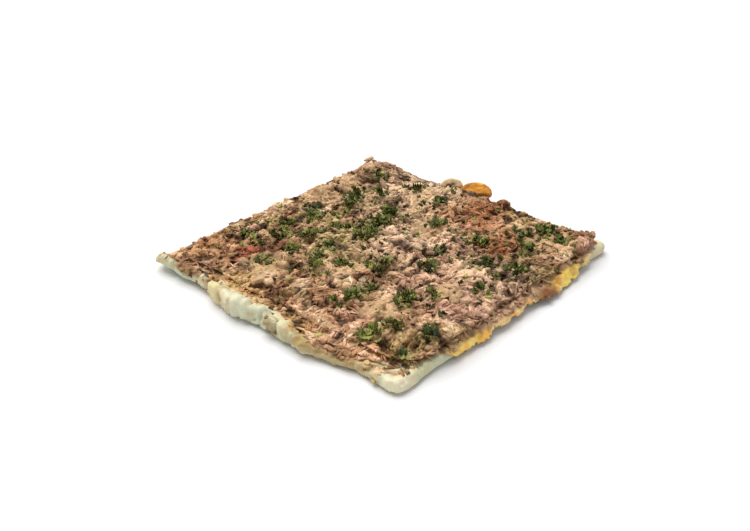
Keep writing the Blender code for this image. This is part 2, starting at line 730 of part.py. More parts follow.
def sprig_mesh(surface, x, y, width, frill):
    """A curly leaf: a thin wavy sheet laid over the heap, its lobes standing up in a frill."""
    bm = bmesh.new()
    draw = random.Random(round(x / MM))
    lobes = [draw.uniform(0.72, 0.9) if i % 2 else draw.uniform(0.9, 1.16) for i in range(SPRIG_LOBES)]
    layers = []
    for side in (0, 1):
        rings = []
        for ring, share in enumerate((0.0, 0.55, 1.0)):
            spots = []
            for i in range(SPRIG_LOBES if ring else 1):
                angle = math.tau * i / SPRIG_LOBES
                radius = width / 2 * share * (lobes[i] if ring == 2 else 1)
                spot = Vector((x + radius * math.cos(angle), y + radius * math.sin(angle)))
                ground = max(
                    height_at(surface, spot.x + dx * MM, spot.y + dy * MM)
                    for dx in (-1.5, 0, 1.5)
                    for dy in (-1.5, 0, 1.5)
                )
                curl = 0.5 + wave(spot.x, spot.y, 0.45 * width, 14)
                height = ground + SPRIG_CLEARANCE + frill * (share * abs(curl) + 0.25)
                spots.append(bm.verts.new((spot.x, spot.y, height + side * SPRIG_THICK)))
            rings.append(spots)
        layers.append(rings)
    for rings in layers:
        centre, middle, rim = rings[0][0], rings[1], rings[2]
        for i in range(SPRIG_LOBES):
            j = (i + 1) % SPRIG_LOBES
            bm.faces.new((centre, middle[i], middle[j]))
            bm.faces.new((middle[i], rim[i], rim[j]))
            bm.faces.new((middle[i], rim[j], middle[j]))
    lower, upper = layers[0][2], layers[1][2]
    for i in range(SPRIG_LOBES):
        j = (i + 1) % SPRIG_LOBES
        bm.faces.new((lower[i], lower[j], upper[j]))
        bm.faces.new((lower[i], upper[j], upper[i]))
    return bm


# ---- The slice ------------------------------------------------------------------------------


def main():
    clear_scene()
    materials = {name: make_material(name) for name in MATERIALS}

    crust = add_object("crust", loft(crust_rings()), materials["dough"])
    stub_place = Matrix.Translation(STUB_PLACE) @ Matrix.Rotation(math.radians(STUB_TURN), 4, "Y")

    cheese = add_object("cheese", cheese_mesh(surface_of(crust)), materials["cheese"])
    ground = (surface_of(crust), surface_of(cheese))
    beef = add_object("beef", core_mesh(ground), materials["roast_beef"])
    bare = surface_of(beef)

    for number, (x, y, turn, lean, width, thick, sunk) in enumerate(MUSHROOMS, 1):
        place = mushroom_matrix(bare, x, y, turn, lean, width, sunk)
        body = slice_mesh(width, thick)
        bmesh.ops.transform(body, matrix=place, verts=body.verts)
        add_object(f"mushroom_{number}", body, materials["mushroom"])
    stub = slice_mesh(STUB_WIDTH, STUB_THICK)
    bmesh.ops.transform(stub, matrix=stub_place, verts=stub.verts)
    add_object(f"mushroom_{len(MUSHROOMS) + 1}", stub, materials["mushroom"])
    for number, (x, y, width, frill) in enumerate(SPRIGS, 1):
        add_object(f"parsley_{number}", sprig_mesh(bare, x, y, width, frill), materials["parsley"])

    combine(beef, fused_pieces(bare), "UNION")
    pockets = []
    for x, y, turn, lean, width, thick, sunk in MUSHROOMS:
        pocket = pocket_mesh(width, thick)
        place = mushroom_matrix(bare, x, y, turn, lean, width, sunk)
        bmesh.ops.transform(pocket, matrix=place, verts=pocket.verts)
        pockets.append(pocket)
    combine(beef, pockets, "DIFFERENCE")
    pocket = pocket_mesh(STUB_WIDTH, STUB_THICK)
    bmesh.ops.transform(pocket, matrix=stub_place, verts=pocket.verts)
    combine(crust, [pocket], "DIFFERENCE")


main()
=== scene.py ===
"""The looks of a square slice of roast beef pizza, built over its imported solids.

Bottom to top it is pale dough, melted cheese that hangs over the right side, and a matted bed of
shredded beef with loose shreds, strands, chunks and crumbs of it on top, glazed with cheese here and
there. Mushroom slices, curly parsley, parsley flakes and pepper dice lie on the beef, and toasted
crumbs along the front rim.

Places in the tables are in mm, in the slice's frame: x to the right, y to the back, z up.
"""

import itertools
import math
import random

import bmesh
import bpy
import numpy as np
from mathutils import Matrix, Vector
from mathutils.bvhtree import BVHTree


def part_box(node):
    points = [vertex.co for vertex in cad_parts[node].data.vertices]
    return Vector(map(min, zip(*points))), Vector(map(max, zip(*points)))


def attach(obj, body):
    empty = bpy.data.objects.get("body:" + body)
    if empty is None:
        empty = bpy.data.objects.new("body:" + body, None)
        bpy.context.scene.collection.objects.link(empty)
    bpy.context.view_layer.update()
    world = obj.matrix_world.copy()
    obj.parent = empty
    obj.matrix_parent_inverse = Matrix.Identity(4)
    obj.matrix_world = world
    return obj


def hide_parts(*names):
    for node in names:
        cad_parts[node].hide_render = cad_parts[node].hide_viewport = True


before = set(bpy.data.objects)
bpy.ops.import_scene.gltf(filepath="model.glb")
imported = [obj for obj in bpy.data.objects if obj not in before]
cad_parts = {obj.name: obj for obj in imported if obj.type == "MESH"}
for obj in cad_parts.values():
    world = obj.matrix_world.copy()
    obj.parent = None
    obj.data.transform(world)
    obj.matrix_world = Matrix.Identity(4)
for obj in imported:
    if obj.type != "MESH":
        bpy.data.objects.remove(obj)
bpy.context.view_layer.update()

MM = 0.001
SEED = 11

# Colours, linear
DOUGH_PALE = (0.61, 0.62, 0.43)
DOUGH_CREAM = (0.68, 0.58, 0.37)
DOUGH_GOLD = (0.62, 0.35, 0.12)
DOUGH_BROWN = (0.27, 0.12, 0.045)
DOUGH_CRUSTED = (0.36, 0.23, 0.07)
DOUGH_CORNER = (0.79, 0.72, 0.51)
CHEESE_CREAM = (0.88, 0.61, 0.28)
CHEESE_YELLOW = (0.97, 0.68, 0.11)
CHEESE_ORANGE = (0.92, 0.44, 0.07)
CHEESE_GREEN = (0.50, 0.49, 0.22)
CHEESE_BROWN = (0.24, 0.09, 0.025)
CHEESE_GOLDEN = (0.60, 0.40, 0.16)
CHEESE_STAIN = (0.55, 0.50, 0.10)
CHEESE_CORNER = (0.80, 0.73, 0.53)
MEAT_DARK = (0.105, 0.030, 0.006)
MEAT_MID = (0.62, 0.345, 0.18)
MEAT_LIGHT = (0.98, 0.71, 0.475)
MEAT_RED = (0.27, 0.042, 0.022)
MEAT_ORANGE = (0.62, 0.20, 0.045)
MEAT_RUST = (0.38, 0.12, 0.028)
MEAT_PINK = (0.72, 0.41, 0.285)
MEAT_TAN = (0.72, 0.46, 0.235)
MEAT_OLIVE = (0.40, 0.33, 0.10)
MEAT_BROWN = (0.24, 0.10, 0.03)
GLAZE = (0.66, 0.43, 0.225)
LEAF_DARK = (0.014, 0.019, 0.003)
LEAF_MID = (0.088, 0.105, 0.018)
LEAF_LIGHT = (0.33, 0.34, 0.085)
LEAF_BROWN = (0.16, 0.13, 0.035)
LEAF_BLUE = (0.035, 0.07, 0.035)
PEPPER_GREEN = (0.36, 0.32, 0.05)
PEPPER_YELLOW = (0.50, 0.38, 0.10)
FLOOR_WHITE = (0.77, 0.77, 0.77, 1)

# How fine the copies of the solids are
DOUGH_VOXEL = 1.0 * MM
CHEESE_VOXEL = 0.9 * MM
MEAT_VOXEL = 0.87 * MM
MUSHROOM_VOXEL = 0.35 * MM

# Relief of the bed of beef
PATCHES = ((6.5 * MM, 1.3 * MM), (3.2 * MM, 0.7 * MM))
FIBRE_RISE = 0.45 * MM
FIBRE_WIDTH = 1.1 * MM
FIBRE_LENGTH = 5.0 * MM
LUMP_SIZE = 12 * MM
LUMP_RISE = 3.4 * MM
CREASE_DEPTH = 1.7 * MM
PIT_DEPTH = 1.4 * MM
GLAZE_RISE = 0.7 * MM
GLAZE_SIZE = 17 * MM

# Lumps in the dough's front side, as (x, reach, how far out, how far up)
DOUGH_LUMPS = (
    (-82, 8, 0.4, 0.6),
    (-62, 6, -0.8, -0.8),
    (-36, 6, 2.2, 2.0),
    (-17, 9, 1.4, 1.9),
    (16, 8, 1.6, 1.6),
    (36, 6, 0.8, -0.4),
    (56, 9, 0.2, -0.8),
    (76, 8, 0.6, 0.8),
)
# Seams between the lumps, as (x, slant)
DOUGH_SEAMS = (
    (-46, 0.3),
    (-29, -0.4),
    (1, 0.3),
    (26, 0.4),
)
SEAM_WIDTH = 1.4
SEAM_DEPTH = 1.0
# Colours along the dough's front side, as (x, reach, colour, share)
DOUGH_FIELDS = (
    (-70, 17, (0.58, 0.62, 0.43), 0.85),
    (-36, 7, (0.72, 0.62, 0.32), 0.85),
    (-17, 9, (0.70, 0.67, 0.48), 0.6),
    (16, 9, (0.60, 0.56, 0.33), 0.6),
    (52, 25, (0.47, 0.35, 0.16), 0.85),
)
# The stretch of the front whose dough is layered and crusted, as the x at which that starts, is full,
# is still full and ends, and the stained lump beside it, as (x, y, reach)
LAYERED_X = (24, 32, 70, 80)
CRUSTED_X = (24, 32, 66, 78)
STAINED_LUMP = (31, -94, 3)
# How far back the bare rim reaches at the front: its usual y, how much that wanders, and places where
# it reaches further, as (x, reach, how much further)
RIM_Y = -91.5
RIM_WANDER = 6
RIM_BULGES = (
    (-64, 9, -3),
    (-35, 8, 10),
    (-6, 20, 5),
    (50, 20, -6),
)
RIM_TOAST = 3.2
GOLDEN_LUMP = (-33, -85.5, 7)
GOLDEN_CRUMBS = (-33, -86, 7)
# The pale corner at the front right, bare of beef, as (x, y, reach) for dough, cheese and beef
DOUGH_CORNER_SPOT = (92, -94, 14)
CHEESE_CORNER_SPOT = (90, -92, 22)
BARE_CORNER_SPOT = (94, -97, 12)
# The x to which the beef reaches on the right, and where it reaches further, as (y at which that
# starts, is full, is still full and ends, how much further)
HEM_X = 90.5
HEM_BULGES = (
    (-36, -31, 25, 30, 1.7),
    (-62, -56, -38, -34, 1.0),
)
# Colours along the cheese's lip on the right, as (from y, to y, colour, share)
LIP_FIELDS = (
    (-62, -40, CHEESE_YELLOW, 0.75),
    (-38, -26, CHEESE_YELLOW, 0.9),
    (-24, 14, CHEESE_CREAM, 0.5),
    (33, 58, CHEESE_YELLOW, 0.95),
    (62, 88, CHEESE_GREEN, 0.6),
)
BROWNED_CURL = (99, 23, 8)
# Cloudy areas of the beef, as (colour, size, layer of noise, share)
MEAT_CLOUDS = (
    (MEAT_TAN, 12 * MM, 42, 0.5),
    (MEAT_OLIVE, 8 * MM, 44, 0.5),
    (MEAT_BROWN, 5 * MM, 43, 0.6),
)
# Browned, red and pale areas of the beef, as (x, y, reach, colour, share)
MEAT_SPOTS = (
    (-50, -67, 8, MEAT_RED, 1.0),
    (-47, -58, 8, MEAT_RED, 1.0),
    (-45, -49, 7, MEAT_RED, 1.0),
    (-42, -40, 7, MEAT_RED, 1.0),
    (72, 6, 24, MEAT_LIGHT, 0.5),
    (-24, 84, 24, MEAT_LIGHT, 0.4),
    (-70, -78, 14, MEAT_TAN, 0.5),
    (18, 62, 20, MEAT_RUST, 0.95),
    (34, 50, 14, MEAT_RUST, 0.6),
    (2, 50, 9, MEAT_ORANGE, 0.6),
    (54, 40, 11, MEAT_RUST, 0.9),
    (-22, -18, 24, MEAT_OLIVE, 0.4),
    (-80, -66, 24, MEAT_ORANGE, 0.4),
    (84, 84, 9, MEAT_RED, 0.5),
    (26, 80, 9, MEAT_RED, 0.35),
    (-80, 80, 16, MEAT_RED, 0.3),
    (66, -80, 9, MEAT_ORANGE, 0.3),
    (10, 15, 26, MEAT_PINK, 0.5),
    (-30, 70, 26, MEAT_TAN, 0.6),
    (-62, 40, 24, MEAT_TAN, 0.4),
    (40, -20, 16, MEAT_PINK, 0.4),
    (8, 14, 26, MEAT_LIGHT, 0.45),
    (-28, 68, 32, MEAT_LIGHT, 0.6),
    (68, -18, 26, MEAT_PINK, 0.5),
)
# What loose pieces are strewn on, and the y between which beef partly covers a mushroom slice
DOUGH, CHEESE, BED, SLICES = range(4)
COVERED_SLICE_Y = (-85, -60)
# Patches of cheese melted over the beef, as (x, y, reach), and a streak that has none
GLAZE_SPOTS = (
    (2, -38, 13),
    (-73, 22, 13),
    (-70, 44, 12),
    (46, -54, 9),
    (70, 56, 12),
    (-20, 60, 12),
    (10, 30, 12),
    (-34, -62, 10),
    (62, -20, 9),
)
UNGLAZED_STREAK = (-53, -57, 14)
# Loose beef, crumbs and flakes: how many to each square metre, and their sizes
SHRED_SIZES = {
    "Density": 48000.0, "Length": 6.2 * MM, "Width": 1.9 * MM,
    "Flatness": 0.6, "Curl": 5 * MM, "Lift": 0.2 * MM,
}
STRAND_SIZES = {
    "Density": 45000.0, "Length": 5 * MM, "Width": 0.85 * MM,
    "Flatness": 0.9, "Curl": 8 * MM, "Lift": 0.7 * MM,
}
CHUNK_SIZES = {
    "Density": 22000.0, "Smallest": 0.8 * MM, "Largest": 2.5 * MM, "Tilt": 0.3, "Lift": 0.1 * MM,
}
CRUMB_SIZES = {
    "Density": 40000.0, "Smallest": 0.5 * MM, "Largest": 1.4 * MM, "Tilt": 0.5, "Lift": 0.4 * MM,
}
FLAKE_SIZES = {
    "Density": 105000.0, "Smallest": 0.7 * MM, "Largest": 3.6 * MM, "Tilt": 0.6, "Lift": 0.9 * MM,
}
TOASTED_SIZES = {
    "Density": 70000.0, "Smallest": 0.5 * MM, "Largest": 2.0 * MM, "Tilt": 0.5, "Lift": 0.1 * MM,
}
# How strands lie: over what distance they change heading, by how much, and how wide their bends are
FLOW_SIZE = 22 * MM
FLOW_TURN = 14.0
BEND_SIZE = 5 * MM
# Curly parsley laid on the beef besides the large sprigs, as (x, y, width, shade)
CLUMPS = (
    (-10, -46, 8, 0.4),
    (-24, 30, 9, 0.5),
    (-18, 14, 9, 0.3),
    (-10, -6, 9, 0.5),
    (60, 16, 9, 0.2),
    (83, -61, 8, 0.0),
    (54, 62, 8, 0.5),
    (75, 67, 7, 0.1),
    (-55, 36, 9, 0.2),
    (-45, 22, 8, 0.4),
    (-61, 4, 8, 0.1),
    (-59, -21, 9, 0.2),
    (-69, -44, 6, 0.1),
    (-36, -62, 7, 0.4),
    (28, -44, 8, 0.3),
    (62, -64, 7, 0.5),
    (78, -77, 7, 0.4),
    (-6, 58, 7, 0.3),
    (-30, 66, 7, 0.3),
    (-62, 62, 7, 0.3),
    (30, 12, 7, 0.2),
    (-28, -2, 8, 0.6),
    (18, -22, 8, 0.4),
    (66, 44, 7, 0.3),
    (-4, -51, 6, 0.5),
    (-17, -34, 8, 0.7),
    (2, -35, 9, 0.4),
    (-13, 3, 7, 0.5),
    (-15, 16, 7, 0.3),
    (-53, -4, 8, 0.6),
    (-52, -30, 7, 0.4),
    (-58, -46, 6, 0.2),
    (-32, -4, 7, 0.8),
    (-51, 31, 8, 0.5),
    (-43, 44, 8, 0.3),
    (-20, 31, 8, 0.4),
    (-35, -40, 6, 0.6),
    (-19, -25, 7, 0.5),
    (58, -30, 6, 0.6),
    (52, -48, 5, 0.7),
    (74, -9, 6, 0.3),
    (62, 73, 7, -0.1),
)
# Each large sprig's shade, and the leaflets of sprigs and clumps
SPRIG_SHADES = (0.6, 0.5, 0.45, 0.5, 0.3, 0.4, 0.45, 0.3, 0.35)
LEAFLET_SIZE = 2.9 * MM
CLUMP_RISE = 2.2 * MM
# Each mushroom slice's colour of gills, flesh and cap, and whether its gills show only at its left
MUSHROOM_LOOKS = {
    "mushroom_1": ((0.035, 0.02, 0.01), (0.66, 0.52, 0.33), (0.62, 0.42, 0.20), False),
    "mushroom_2": ((0.78, 0.32, 0.045), (0.84, 0.38, 0.055), (0.50, 0.20, 0.04), False),
    "mushroom_3": ((0.10, 0.06, 0.03), (0.68, 0.48, 0.29), (0.58, 0.36, 0.16), True),
    "mushroom_4": ((0.60, 0.60, 0.42), (0.56, 0.54, 0.35), (0.34, 0.26, 0.13), False),
}
# Pepper dice, as (x, y, width)
DICE = (
    (-39, 1, 5.0),
    (32, 42, 5.0),
    (59, -25, 5.5),
    (36, -90, 4.5),
    (80, -10, 4.5),
    (-60, 66, 5.0),
    (-12, 70, 4.0),
    (60, -2, 4.0),
    (-30, -84, 4.0),
    (-46, -12, 3.6),
    (14, 50, 4.0),
    (50, -62, 3.6),
)
# Finishes: roughness, size of the fine grain and of the broad mottling, how dark and light the grain
# goes, fine relief, how far light passes in, coat of oil, and shine
FINISHES = {
    "baked_dough": (0.6, 1.6 * MM, 12 * MM, (0.88, 1.08), 0.35, 0.15, 0.0, 0.3),
    "melted_cheese": (0.4, 2.2 * MM, 9 * MM, (0.88, 1.1), 0.25, 0.3, 0.25, 0.3),
    "beef_bed": (0.45, 1.1 * MM, 8 * MM, (0.6, 1.3), 0.6, 0.1, 0.03, 0.1),
    "beef_shreds": (0.42, 0.9 * MM, 7 * MM, (0.65, 1.3), 0.5, 0.12, 0.04, 0.12),
    "mushroom": (0.5, 1.0 * MM, 5 * MM, (0.8, 1.15), 0.35, 0.2, 0.03, 0.12),
    "pepper": (0.35, 1.0 * MM, 5 * MM, (0.85, 1.12), 0.2, 0.35, 0.3, 0.3),
    "toasted_crumbs": (0.5, 1.0 * MM, 5 * MM, (0.8, 1.15), 0.4, 0.2, 0.15, 0.3),
    "parsley_leaf": (0.6, 1.0 * MM, 4 * MM, (0.6, 1.35), 0.25, 0.0, 0.0, 0.12),
}

# Stage
FLOOR_REACH = 12.0
SKY_STRENGTH = 0.60
SUN_STRENGTH = 3.0
SUN_SPREAD = math.radians(60)
SUN_FROM = (-0.55, 0.12, 1.0)
CAMERA_PLACE = (0.32087, -0.36765, 0.27212)
CAMERA_TURN = (math.radians(60.5), 0, math.radians(41.75))
SENSOR_WIDTH = 36
LENS = 46.66


# ---- Arrays of points and colours -----------------------------------------------------------


def scatter(cells, layer=0):
    """A steady random number from 0 to 1 for each row of whole numbers."""
    mixed = (cells * np.array((73856093, 19349663, 83492791))).sum(1) + layer * 668265263
    mixed = ((mixed ^ (mixed >> 13)) * 1274126177) & 0xFFFFFFFF
    mixed = ((mixed ^ (mixed >> 15)) * 2246822519) & 0xFFFFFFFF
    return ((mixed ^ (mixed >> 16)) & 0xFFFF) / 65535


def cloud(points, size, layer=0):
    """Smooth noise from 0 to 1 at an array of points, with lumps about size wide. Each layer is a
    noise of its own."""
    cell = np.asarray(points, float) / size + layer * 17.3
    whole = np.floor(cell).astype(np.int64)
    part = cell - whole
    part = part * part * (3 - 2 * part)
    total = np.zeros(len(cell))
    for corner in itertools.product((0, 1), repeat=3):
        weight = np.prod(np.where(np.array(corner) == 1, part, 1 - part), axis=1)
        total += weight * scatter(whole + corner)
    return total


def veins(points, size, layer):
    """0 along winding lines, rising to 1 midway between them."""
    return np.abs(cloud(points, size, layer) - 0.5) * 2


def ramp(low, high, value):
    """0 at low, 1 at high, and smooth between."""
    share = np.clip((value - low) / (high - low), 0, 1)
    return share * share * (3 - 2 * share)


def stretch(starts, full, still_full, ends, value):
    """1 along a stretch, and falling off smoothly to 0 at both sides of it."""
    return ramp(starts, full, value) * ramp(ends, still_full, value)


def hump(value, middle, reach, power=2):
    """1 at the middle, falling off smoothly over reach."""
    return np.exp(-(((value - middle) / reach) ** power))


def in_mm(points):
    """The points' x, y and z, in mm."""
    return (points / MM).T


def in_plan(points):
    """The points brought down to the ground, for patterns that are the same at every height."""
    return points * (1, 1, 0)


def near(points, x, y, reach):
    """1 at a place in plan, falling off smoothly over reach; all three in mm."""
    return hump(np.hypot(points[:, 0] / MM - x, points[:, 1] / MM - y), 0, reach)


def mix(base, colour, share):
    """The base colour with a share of another, at each point."""
    share = np.asarray(share, float)
    if share.ndim:
        share = share[:, None]
    return base + (np.asarray(colour) - base) * share


def read(mesh, name="co", size=3):
    """A row for each vertex: its place, or its normal."""
    values = np.zeros(len(mesh.vertices) * size)
    mesh.vertices.foreach_get(name, values)
    return values.reshape(-1, size)


def paint(obj, colours):
    """Gives each vertex its own colour."""
    layer = obj.data.color_attributes.new("Paint", "FLOAT_COLOR", "POINT")
    filled = np.ones((len(colours), 4))
    filled[:, :3] = np.clip(colours, 0, 1)
    layer.data.foreach_set("color", filled.ravel())


def weigh(obj, name, values):
    """Gives each vertex a number of its own, under a name."""
    layer = obj.data.attributes.new(name, "FLOAT", "POINT")
    layer.data.foreach_set("value", np.asarray(values, float))


def tones(obj):
    """The random tone from 0 to 1 that each loose piece was given, for each of its vertices."""
    values = np.zeros(len(obj.data.vertices))
    obj.data.attributes["tone"].data.foreach_get("value", values)
    return values


# ---- Making and joining meshes --------------------------------------------------------------


def new_object(name, data):
    """A mesh, lamp or camera put in the scene."""
    obj = bpy.data.objects.new(name, data)
    bpy.context.scene.collection.objects.link(obj)
    return obj


def from_bmesh(name, bm):
    """An object of what bm holds, which is then freed."""
    mesh = bpy.data.meshes.new(name)
    bm.to_mesh(mesh)
    bm.free()
    return new_object(name, mesh)


def from_arrays(name, corners, faces):
    """An object of rows of corners and rows of their numbers."""
    mesh = bpy.data.meshes.new(name)
    mesh.from_pydata([tuple(c) for c in corners], [], [tuple(f) for f in faces])
    mesh.update()
    return new_object(name, mesh)


def settled(obj, name):
    """The object's evaluated mesh as a plain object, in place of the one with modifiers."""
    graph = bpy.context.evaluated_depsgraph_get()
    mesh = bpy.data.meshes.new_from_object(obj.evaluated_get(graph), depsgraph=graph)
    bpy.data.objects.remove(obj)
    mesh.name = name
    return new_object(name, mesh)


def remeshed(name, nodes, voxel):
    """One fine closed mesh over copies of CAD nodes."""
    bm = bmesh.new()
    for node in nodes:
        bm.from_mesh(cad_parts[node].data)
    bmesh.ops.remove_doubles(bm, verts=bm.verts, dist=1e-6)
    obj = from_bmesh(name + "_source", bm)
    modifier = obj.modifiers.new("Fine", "REMESH")
    modifier.mode = "VOXEL"
    modifier.voxel_size = voxel
    modifier.use_smooth_shade = True
    return settled(obj, name)


def push(obj, moves):
    """Moves each vertex by its row of moves."""
    placed = read(obj.data) + moves
    obj.data.vertices.foreach_set("co", placed.ravel())
    obj.data.update()


def turn_outwards(mesh):
    """Makes every face point away from the inside of its piece."""
    bm = bmesh.new()
    bm.from_mesh(mesh)
    bmesh.ops.recalc_face_normals(bm, faces=bm.faces)
    bm.to_mesh(mesh)
    bm.free()


def surface_of(objects):
    """What rays from above meet."""
    bm = bmesh.new()
    for obj in objects:
        bm.from_mesh(obj.data)
    tree = BVHTree.FromBMesh(bm)
    bm.free()
    return tree


def height_at(surface, x, y, other=10 * MM):
    """The height of the surface at a place in plan, or other where there is none."""
    hit = surface.ray_cast(Vector((x, y, 100 * MM)), Vector((0, 0, -1)))[0]
    return hit.z if hit else other


# ---- Materials ------------------------------------------------------------------------------


def add_node(tree, kind, inputs=(), **settings):
    """Adds a node. Its inputs take a value, or the socket of another node."""
    node = tree.nodes.new(kind)
    for key, value in settings.items():
        setattr(node, key, value)
    for key, value in dict(inputs).items():
        if isinstance(value, bpy.types.NodeSocket):
            tree.links.new(value, node.inputs[key])
        else:
            node.inputs[key].default_value = value
    return node


def food_material(name):
    """The painted colour, mottled at two sizes, with fine relief, a little depth and some oil."""
    roughness, grain, speck, shades, bump, glow, gloss, shine = FINISHES[name]
    material = bpy.data.materials.new(name)
    material.use_nodes = True
    tree = material.node_tree
    tree.nodes.clear()
    place = add_node(tree, "ShaderNodeTexCoord").outputs["Object"]
    colour = add_node(tree, "ShaderNodeAttribute", attribute_name="Paint").outputs["Color"]
    fine = add_node(
        tree, "ShaderNodeTexNoise", {"Vector": place, "Scale": 1 / grain, "Detail": 4.0, "Roughness": 0.6}
    ).outputs["Fac"]
    broad = add_node(
        tree, "ShaderNodeTexNoise", {"Vector": place, "Scale": 1 / speck, "Detail": 2.0, "Roughness": 0.5}
    ).outputs["Fac"]
    low, high = shades
    mottle = add_node(
        tree, "ShaderNodeMapRange",
        {"Value": fine, "From Min": 0.3, "From Max": 0.7, "To Min": low, "To Max": high},
    )
    mottled = add_node(
        tree, "ShaderNodeVectorMath", {0: colour, "Scale": mottle.outputs["Result"]}, operation="SCALE"
    )
    sheen = add_node(
        tree, "ShaderNodeMapRange",
        {
            "Value": broad, "From Min": 0.35, "From Max": 0.65,
            "To Min": max(roughness - 0.15, 0.1), "To Max": min(roughness + 0.15, 1.0),
        },
    )
    relief = add_node(tree, "ShaderNodeBump", {"Height": fine, "Strength": bump, "Distance": 0.5 * MM})
    shader = add_node(
        tree, "ShaderNodeBsdfPrincipled",
        {
            "Base Color": mottled.outputs["Vector"],
            "Roughness": sheen.outputs["Result"],
            "Normal": relief.outputs["Normal"],
            "Subsurface Weight": glow,
            "Subsurface Scale": 1.2 * MM,
            "Coat Weight": gloss,
            "Coat Roughness": 0.25,
            "Specular IOR Level": shine,
        },
    )
    shader.inputs["Subsurface Radius"].default_value = (1.0, 0.6, 0.35)
    add_node(tree, "ShaderNodeOutputMaterial", {"Surface": shader.outputs["BSDF"]})
    return material


def dress(obj, material):
    """Gives a piece its one material, shaded smooth."""
    obj.data.materials.clear()
    obj.data.materials.append(material)
    obj.data.shade_smooth()


# ---- Where things lie -----------------------------------------------------------------------


def glazed(points):
    """How far melted cheese covers the beef, from 0 to 1."""
    flat = in_plan(points)
    cover = np.zeros(len(points))
    for x, y, reach in GLAZE_SPOTS:
        cover = np.maximum(cover, near(points, x, y, reach))
    cover = cover * 0.8 + 0.62 * cloud(flat, GLAZE_SIZE, 5) + 0.35 * (cloud(flat, 5 * MM, 6) - 0.5)
    return ramp(0.5, 0.78, cover) * (1 - near(points, *UNGLAZED_STREAK))


def bare_rim(points):
    """How bare of beef the front is, 1 on the dough's rim, and how near the beef's edge is."""
    x, y, _ = in_mm(points)
    limit = RIM_Y + (cloud(in_plan(points), 7 * MM, 93) - 0.5) * RIM_WANDER
    for place, reach, further in RIM_BULGES:
        limit = limit + further * hump(x, place, reach)
    return ramp(1.2, -1.2, y - limit), hump(y, limit, RIM_TOAST)


def hem(points):
    """The x in mm to which the beef reaches on the right, less where the lip is bare."""
    _, y, _ = in_mm(points)
    limit = HEM_X
    for starts, full, still_full, ends, further in HEM_BULGES:
        limit = limit + further * stretch(starts, full, still_full, ends, y)
    return limit


def verge(points):
    """Where beef lies on the cheese and dough round the bed, from 0 to 1."""
    x, y, _ = in_mm(points)
    bare, _ = bare_rim(points)
    reach = ramp(1.2, -0.8, x - hem(points)) * ramp(79, 82, np.maximum(np.abs(x), np.abs(y)))
    reach *= ramp(88.5, 86.5, np.maximum(-x, y))
    return reach * (1 - bare) * ramp(0.45, 0.2, near(points, *BARE_CORNER_SPOT))


def lumps(points):
    """The broad lumps of the beef, from 0 to 1."""
    return cloud(in_plan(points), LUMP_SIZE, 29)


def creases(points):
    """The crevices that wander between the larger lumps of beef, from 0 to 1."""
    flat = in_plan(points)
    broad, narrow = veins(flat, LUMP_SIZE, 27), veins(flat, 7 * MM, 28)
    return np.maximum(ramp(0.2, 0.0, broad), 0.7 * ramp(0.15, 0.0, narrow))


def pits(points):
    """Small holes among the shreds, from 0 to 1, sunk into the bed and given painted shade in
    meat_colour.
    """
    return ramp(0.64, 0.8, cloud(in_plan(points), 4 * MM, 30))


# ---- Colours of beef and rim ----------------------------------------------------------------


def meat_colour(points, tone):
    """The beef's colour at each point, for a tone from 0 (dark) to 1 (light), with painted light on its
    lumps and painted shade in its crevices and holes.
    """
    flat = in_plan(points)
    # Painted light and shade: lighter on the tops of the broad lumps, darker in the hollows between them.
    tone = np.clip(tone + 0.9 * (lumps(points) - 0.43), 0, 1)
    lighter = 0.35 + 0.9 * tone[:, None]
    base = mix(MEAT_DARK, MEAT_MID, ramp(0.0, 0.5, tone))
    base = mix(base, MEAT_LIGHT, ramp(0.55, 1.0, tone))
    pinkish = ramp(0.5, 0.75, cloud(flat, 15 * MM, 41)) * (0.75 * ramp(0.2, 0.7, tone))
    base = mix(base, np.array(MEAT_PINK) * lighter, pinkish)
    for colour, size, layer, share in MEAT_CLOUDS:
        base = mix(base, np.array(colour) * lighter, ramp(0.5, 0.75, cloud(flat, size, layer)) * share)
    herb = np.zeros(len(points))
    for x, y, width, _ in CLUMPS:
        herb = np.maximum(herb, near(points, x, y, width * 0.9))
    herb = herb * 0.85 * ramp(0.25, 0.55, cloud(flat, 3 * MM, 45))
    base = mix(base, np.array(MEAT_OLIVE) * 0.8 * lighter, herb)
    for x, y, reach, colour, share in MEAT_SPOTS:
        base = mix(base, np.array(colour) * lighter, near(points, x, y, reach) * share)
    base = toasted_meat(points, base)
    # Painted shade: darker in the crevices between the lumps.
    base = mix(base, np.array(MEAT_DARK) * 0.7, 0.65 * creases(points))
    # Painted shade: much darker in the small holes among the shreds.
    return mix(base, np.array(MEAT_DARK) * 0.35, 0.85 * pits(points))


def toasted_meat(points, base):
    """The beef's colour with its toasted parts beside the rim."""
    x, y, _ = in_mm(points)
    front = ramp(-78, -90, y) * 0.4 * ramp(0.3, 0.7, cloud(in_plan(points), 6 * MM, 9))
    base = mix(base, np.array(DOUGH_GOLD) * 0.85, front)
    _, edge = bare_rim(points)
    return mix(base, np.array(DOUGH_GOLD) * 1.15, edge * 0.5 * ramp(40, 10, x))


def verge_colour(points):
    """The colour of the fine beef that covers cheese and dough round the bed."""
    return meat_colour(points, cloud(points, 3 * MM, 34))


def rim_colours(points, base):
    """Pale dough and toasted cheese painted over what lies at the bare front rim."""
    bare, edge = bare_rim(points)
    pale = mix(DOUGH_PALE, CHEESE_GREEN, ramp(0.5, 0.8, cloud(points, 7 * MM, 5)) * 0.6)
    base = mix(base, pale, bare)
    toast = ramp(0.25, 0.6, cloud(points, 4 * MM, 94))
    base = mix(base, DOUGH_GOLD, edge * (0.35 + 0.6 * toast))
    base = mix(base, CHEESE_GOLDEN, np.minimum(near(points, *GOLDEN_LUMP) * 1.4, 1))
    return mix(base, DOUGH_BROWN, edge * ramp(0.6, 0.85, cloud(points, 3 * MM, 95)) * 0.7)


# ---- Dough ----------------------------------------------------------------------------------


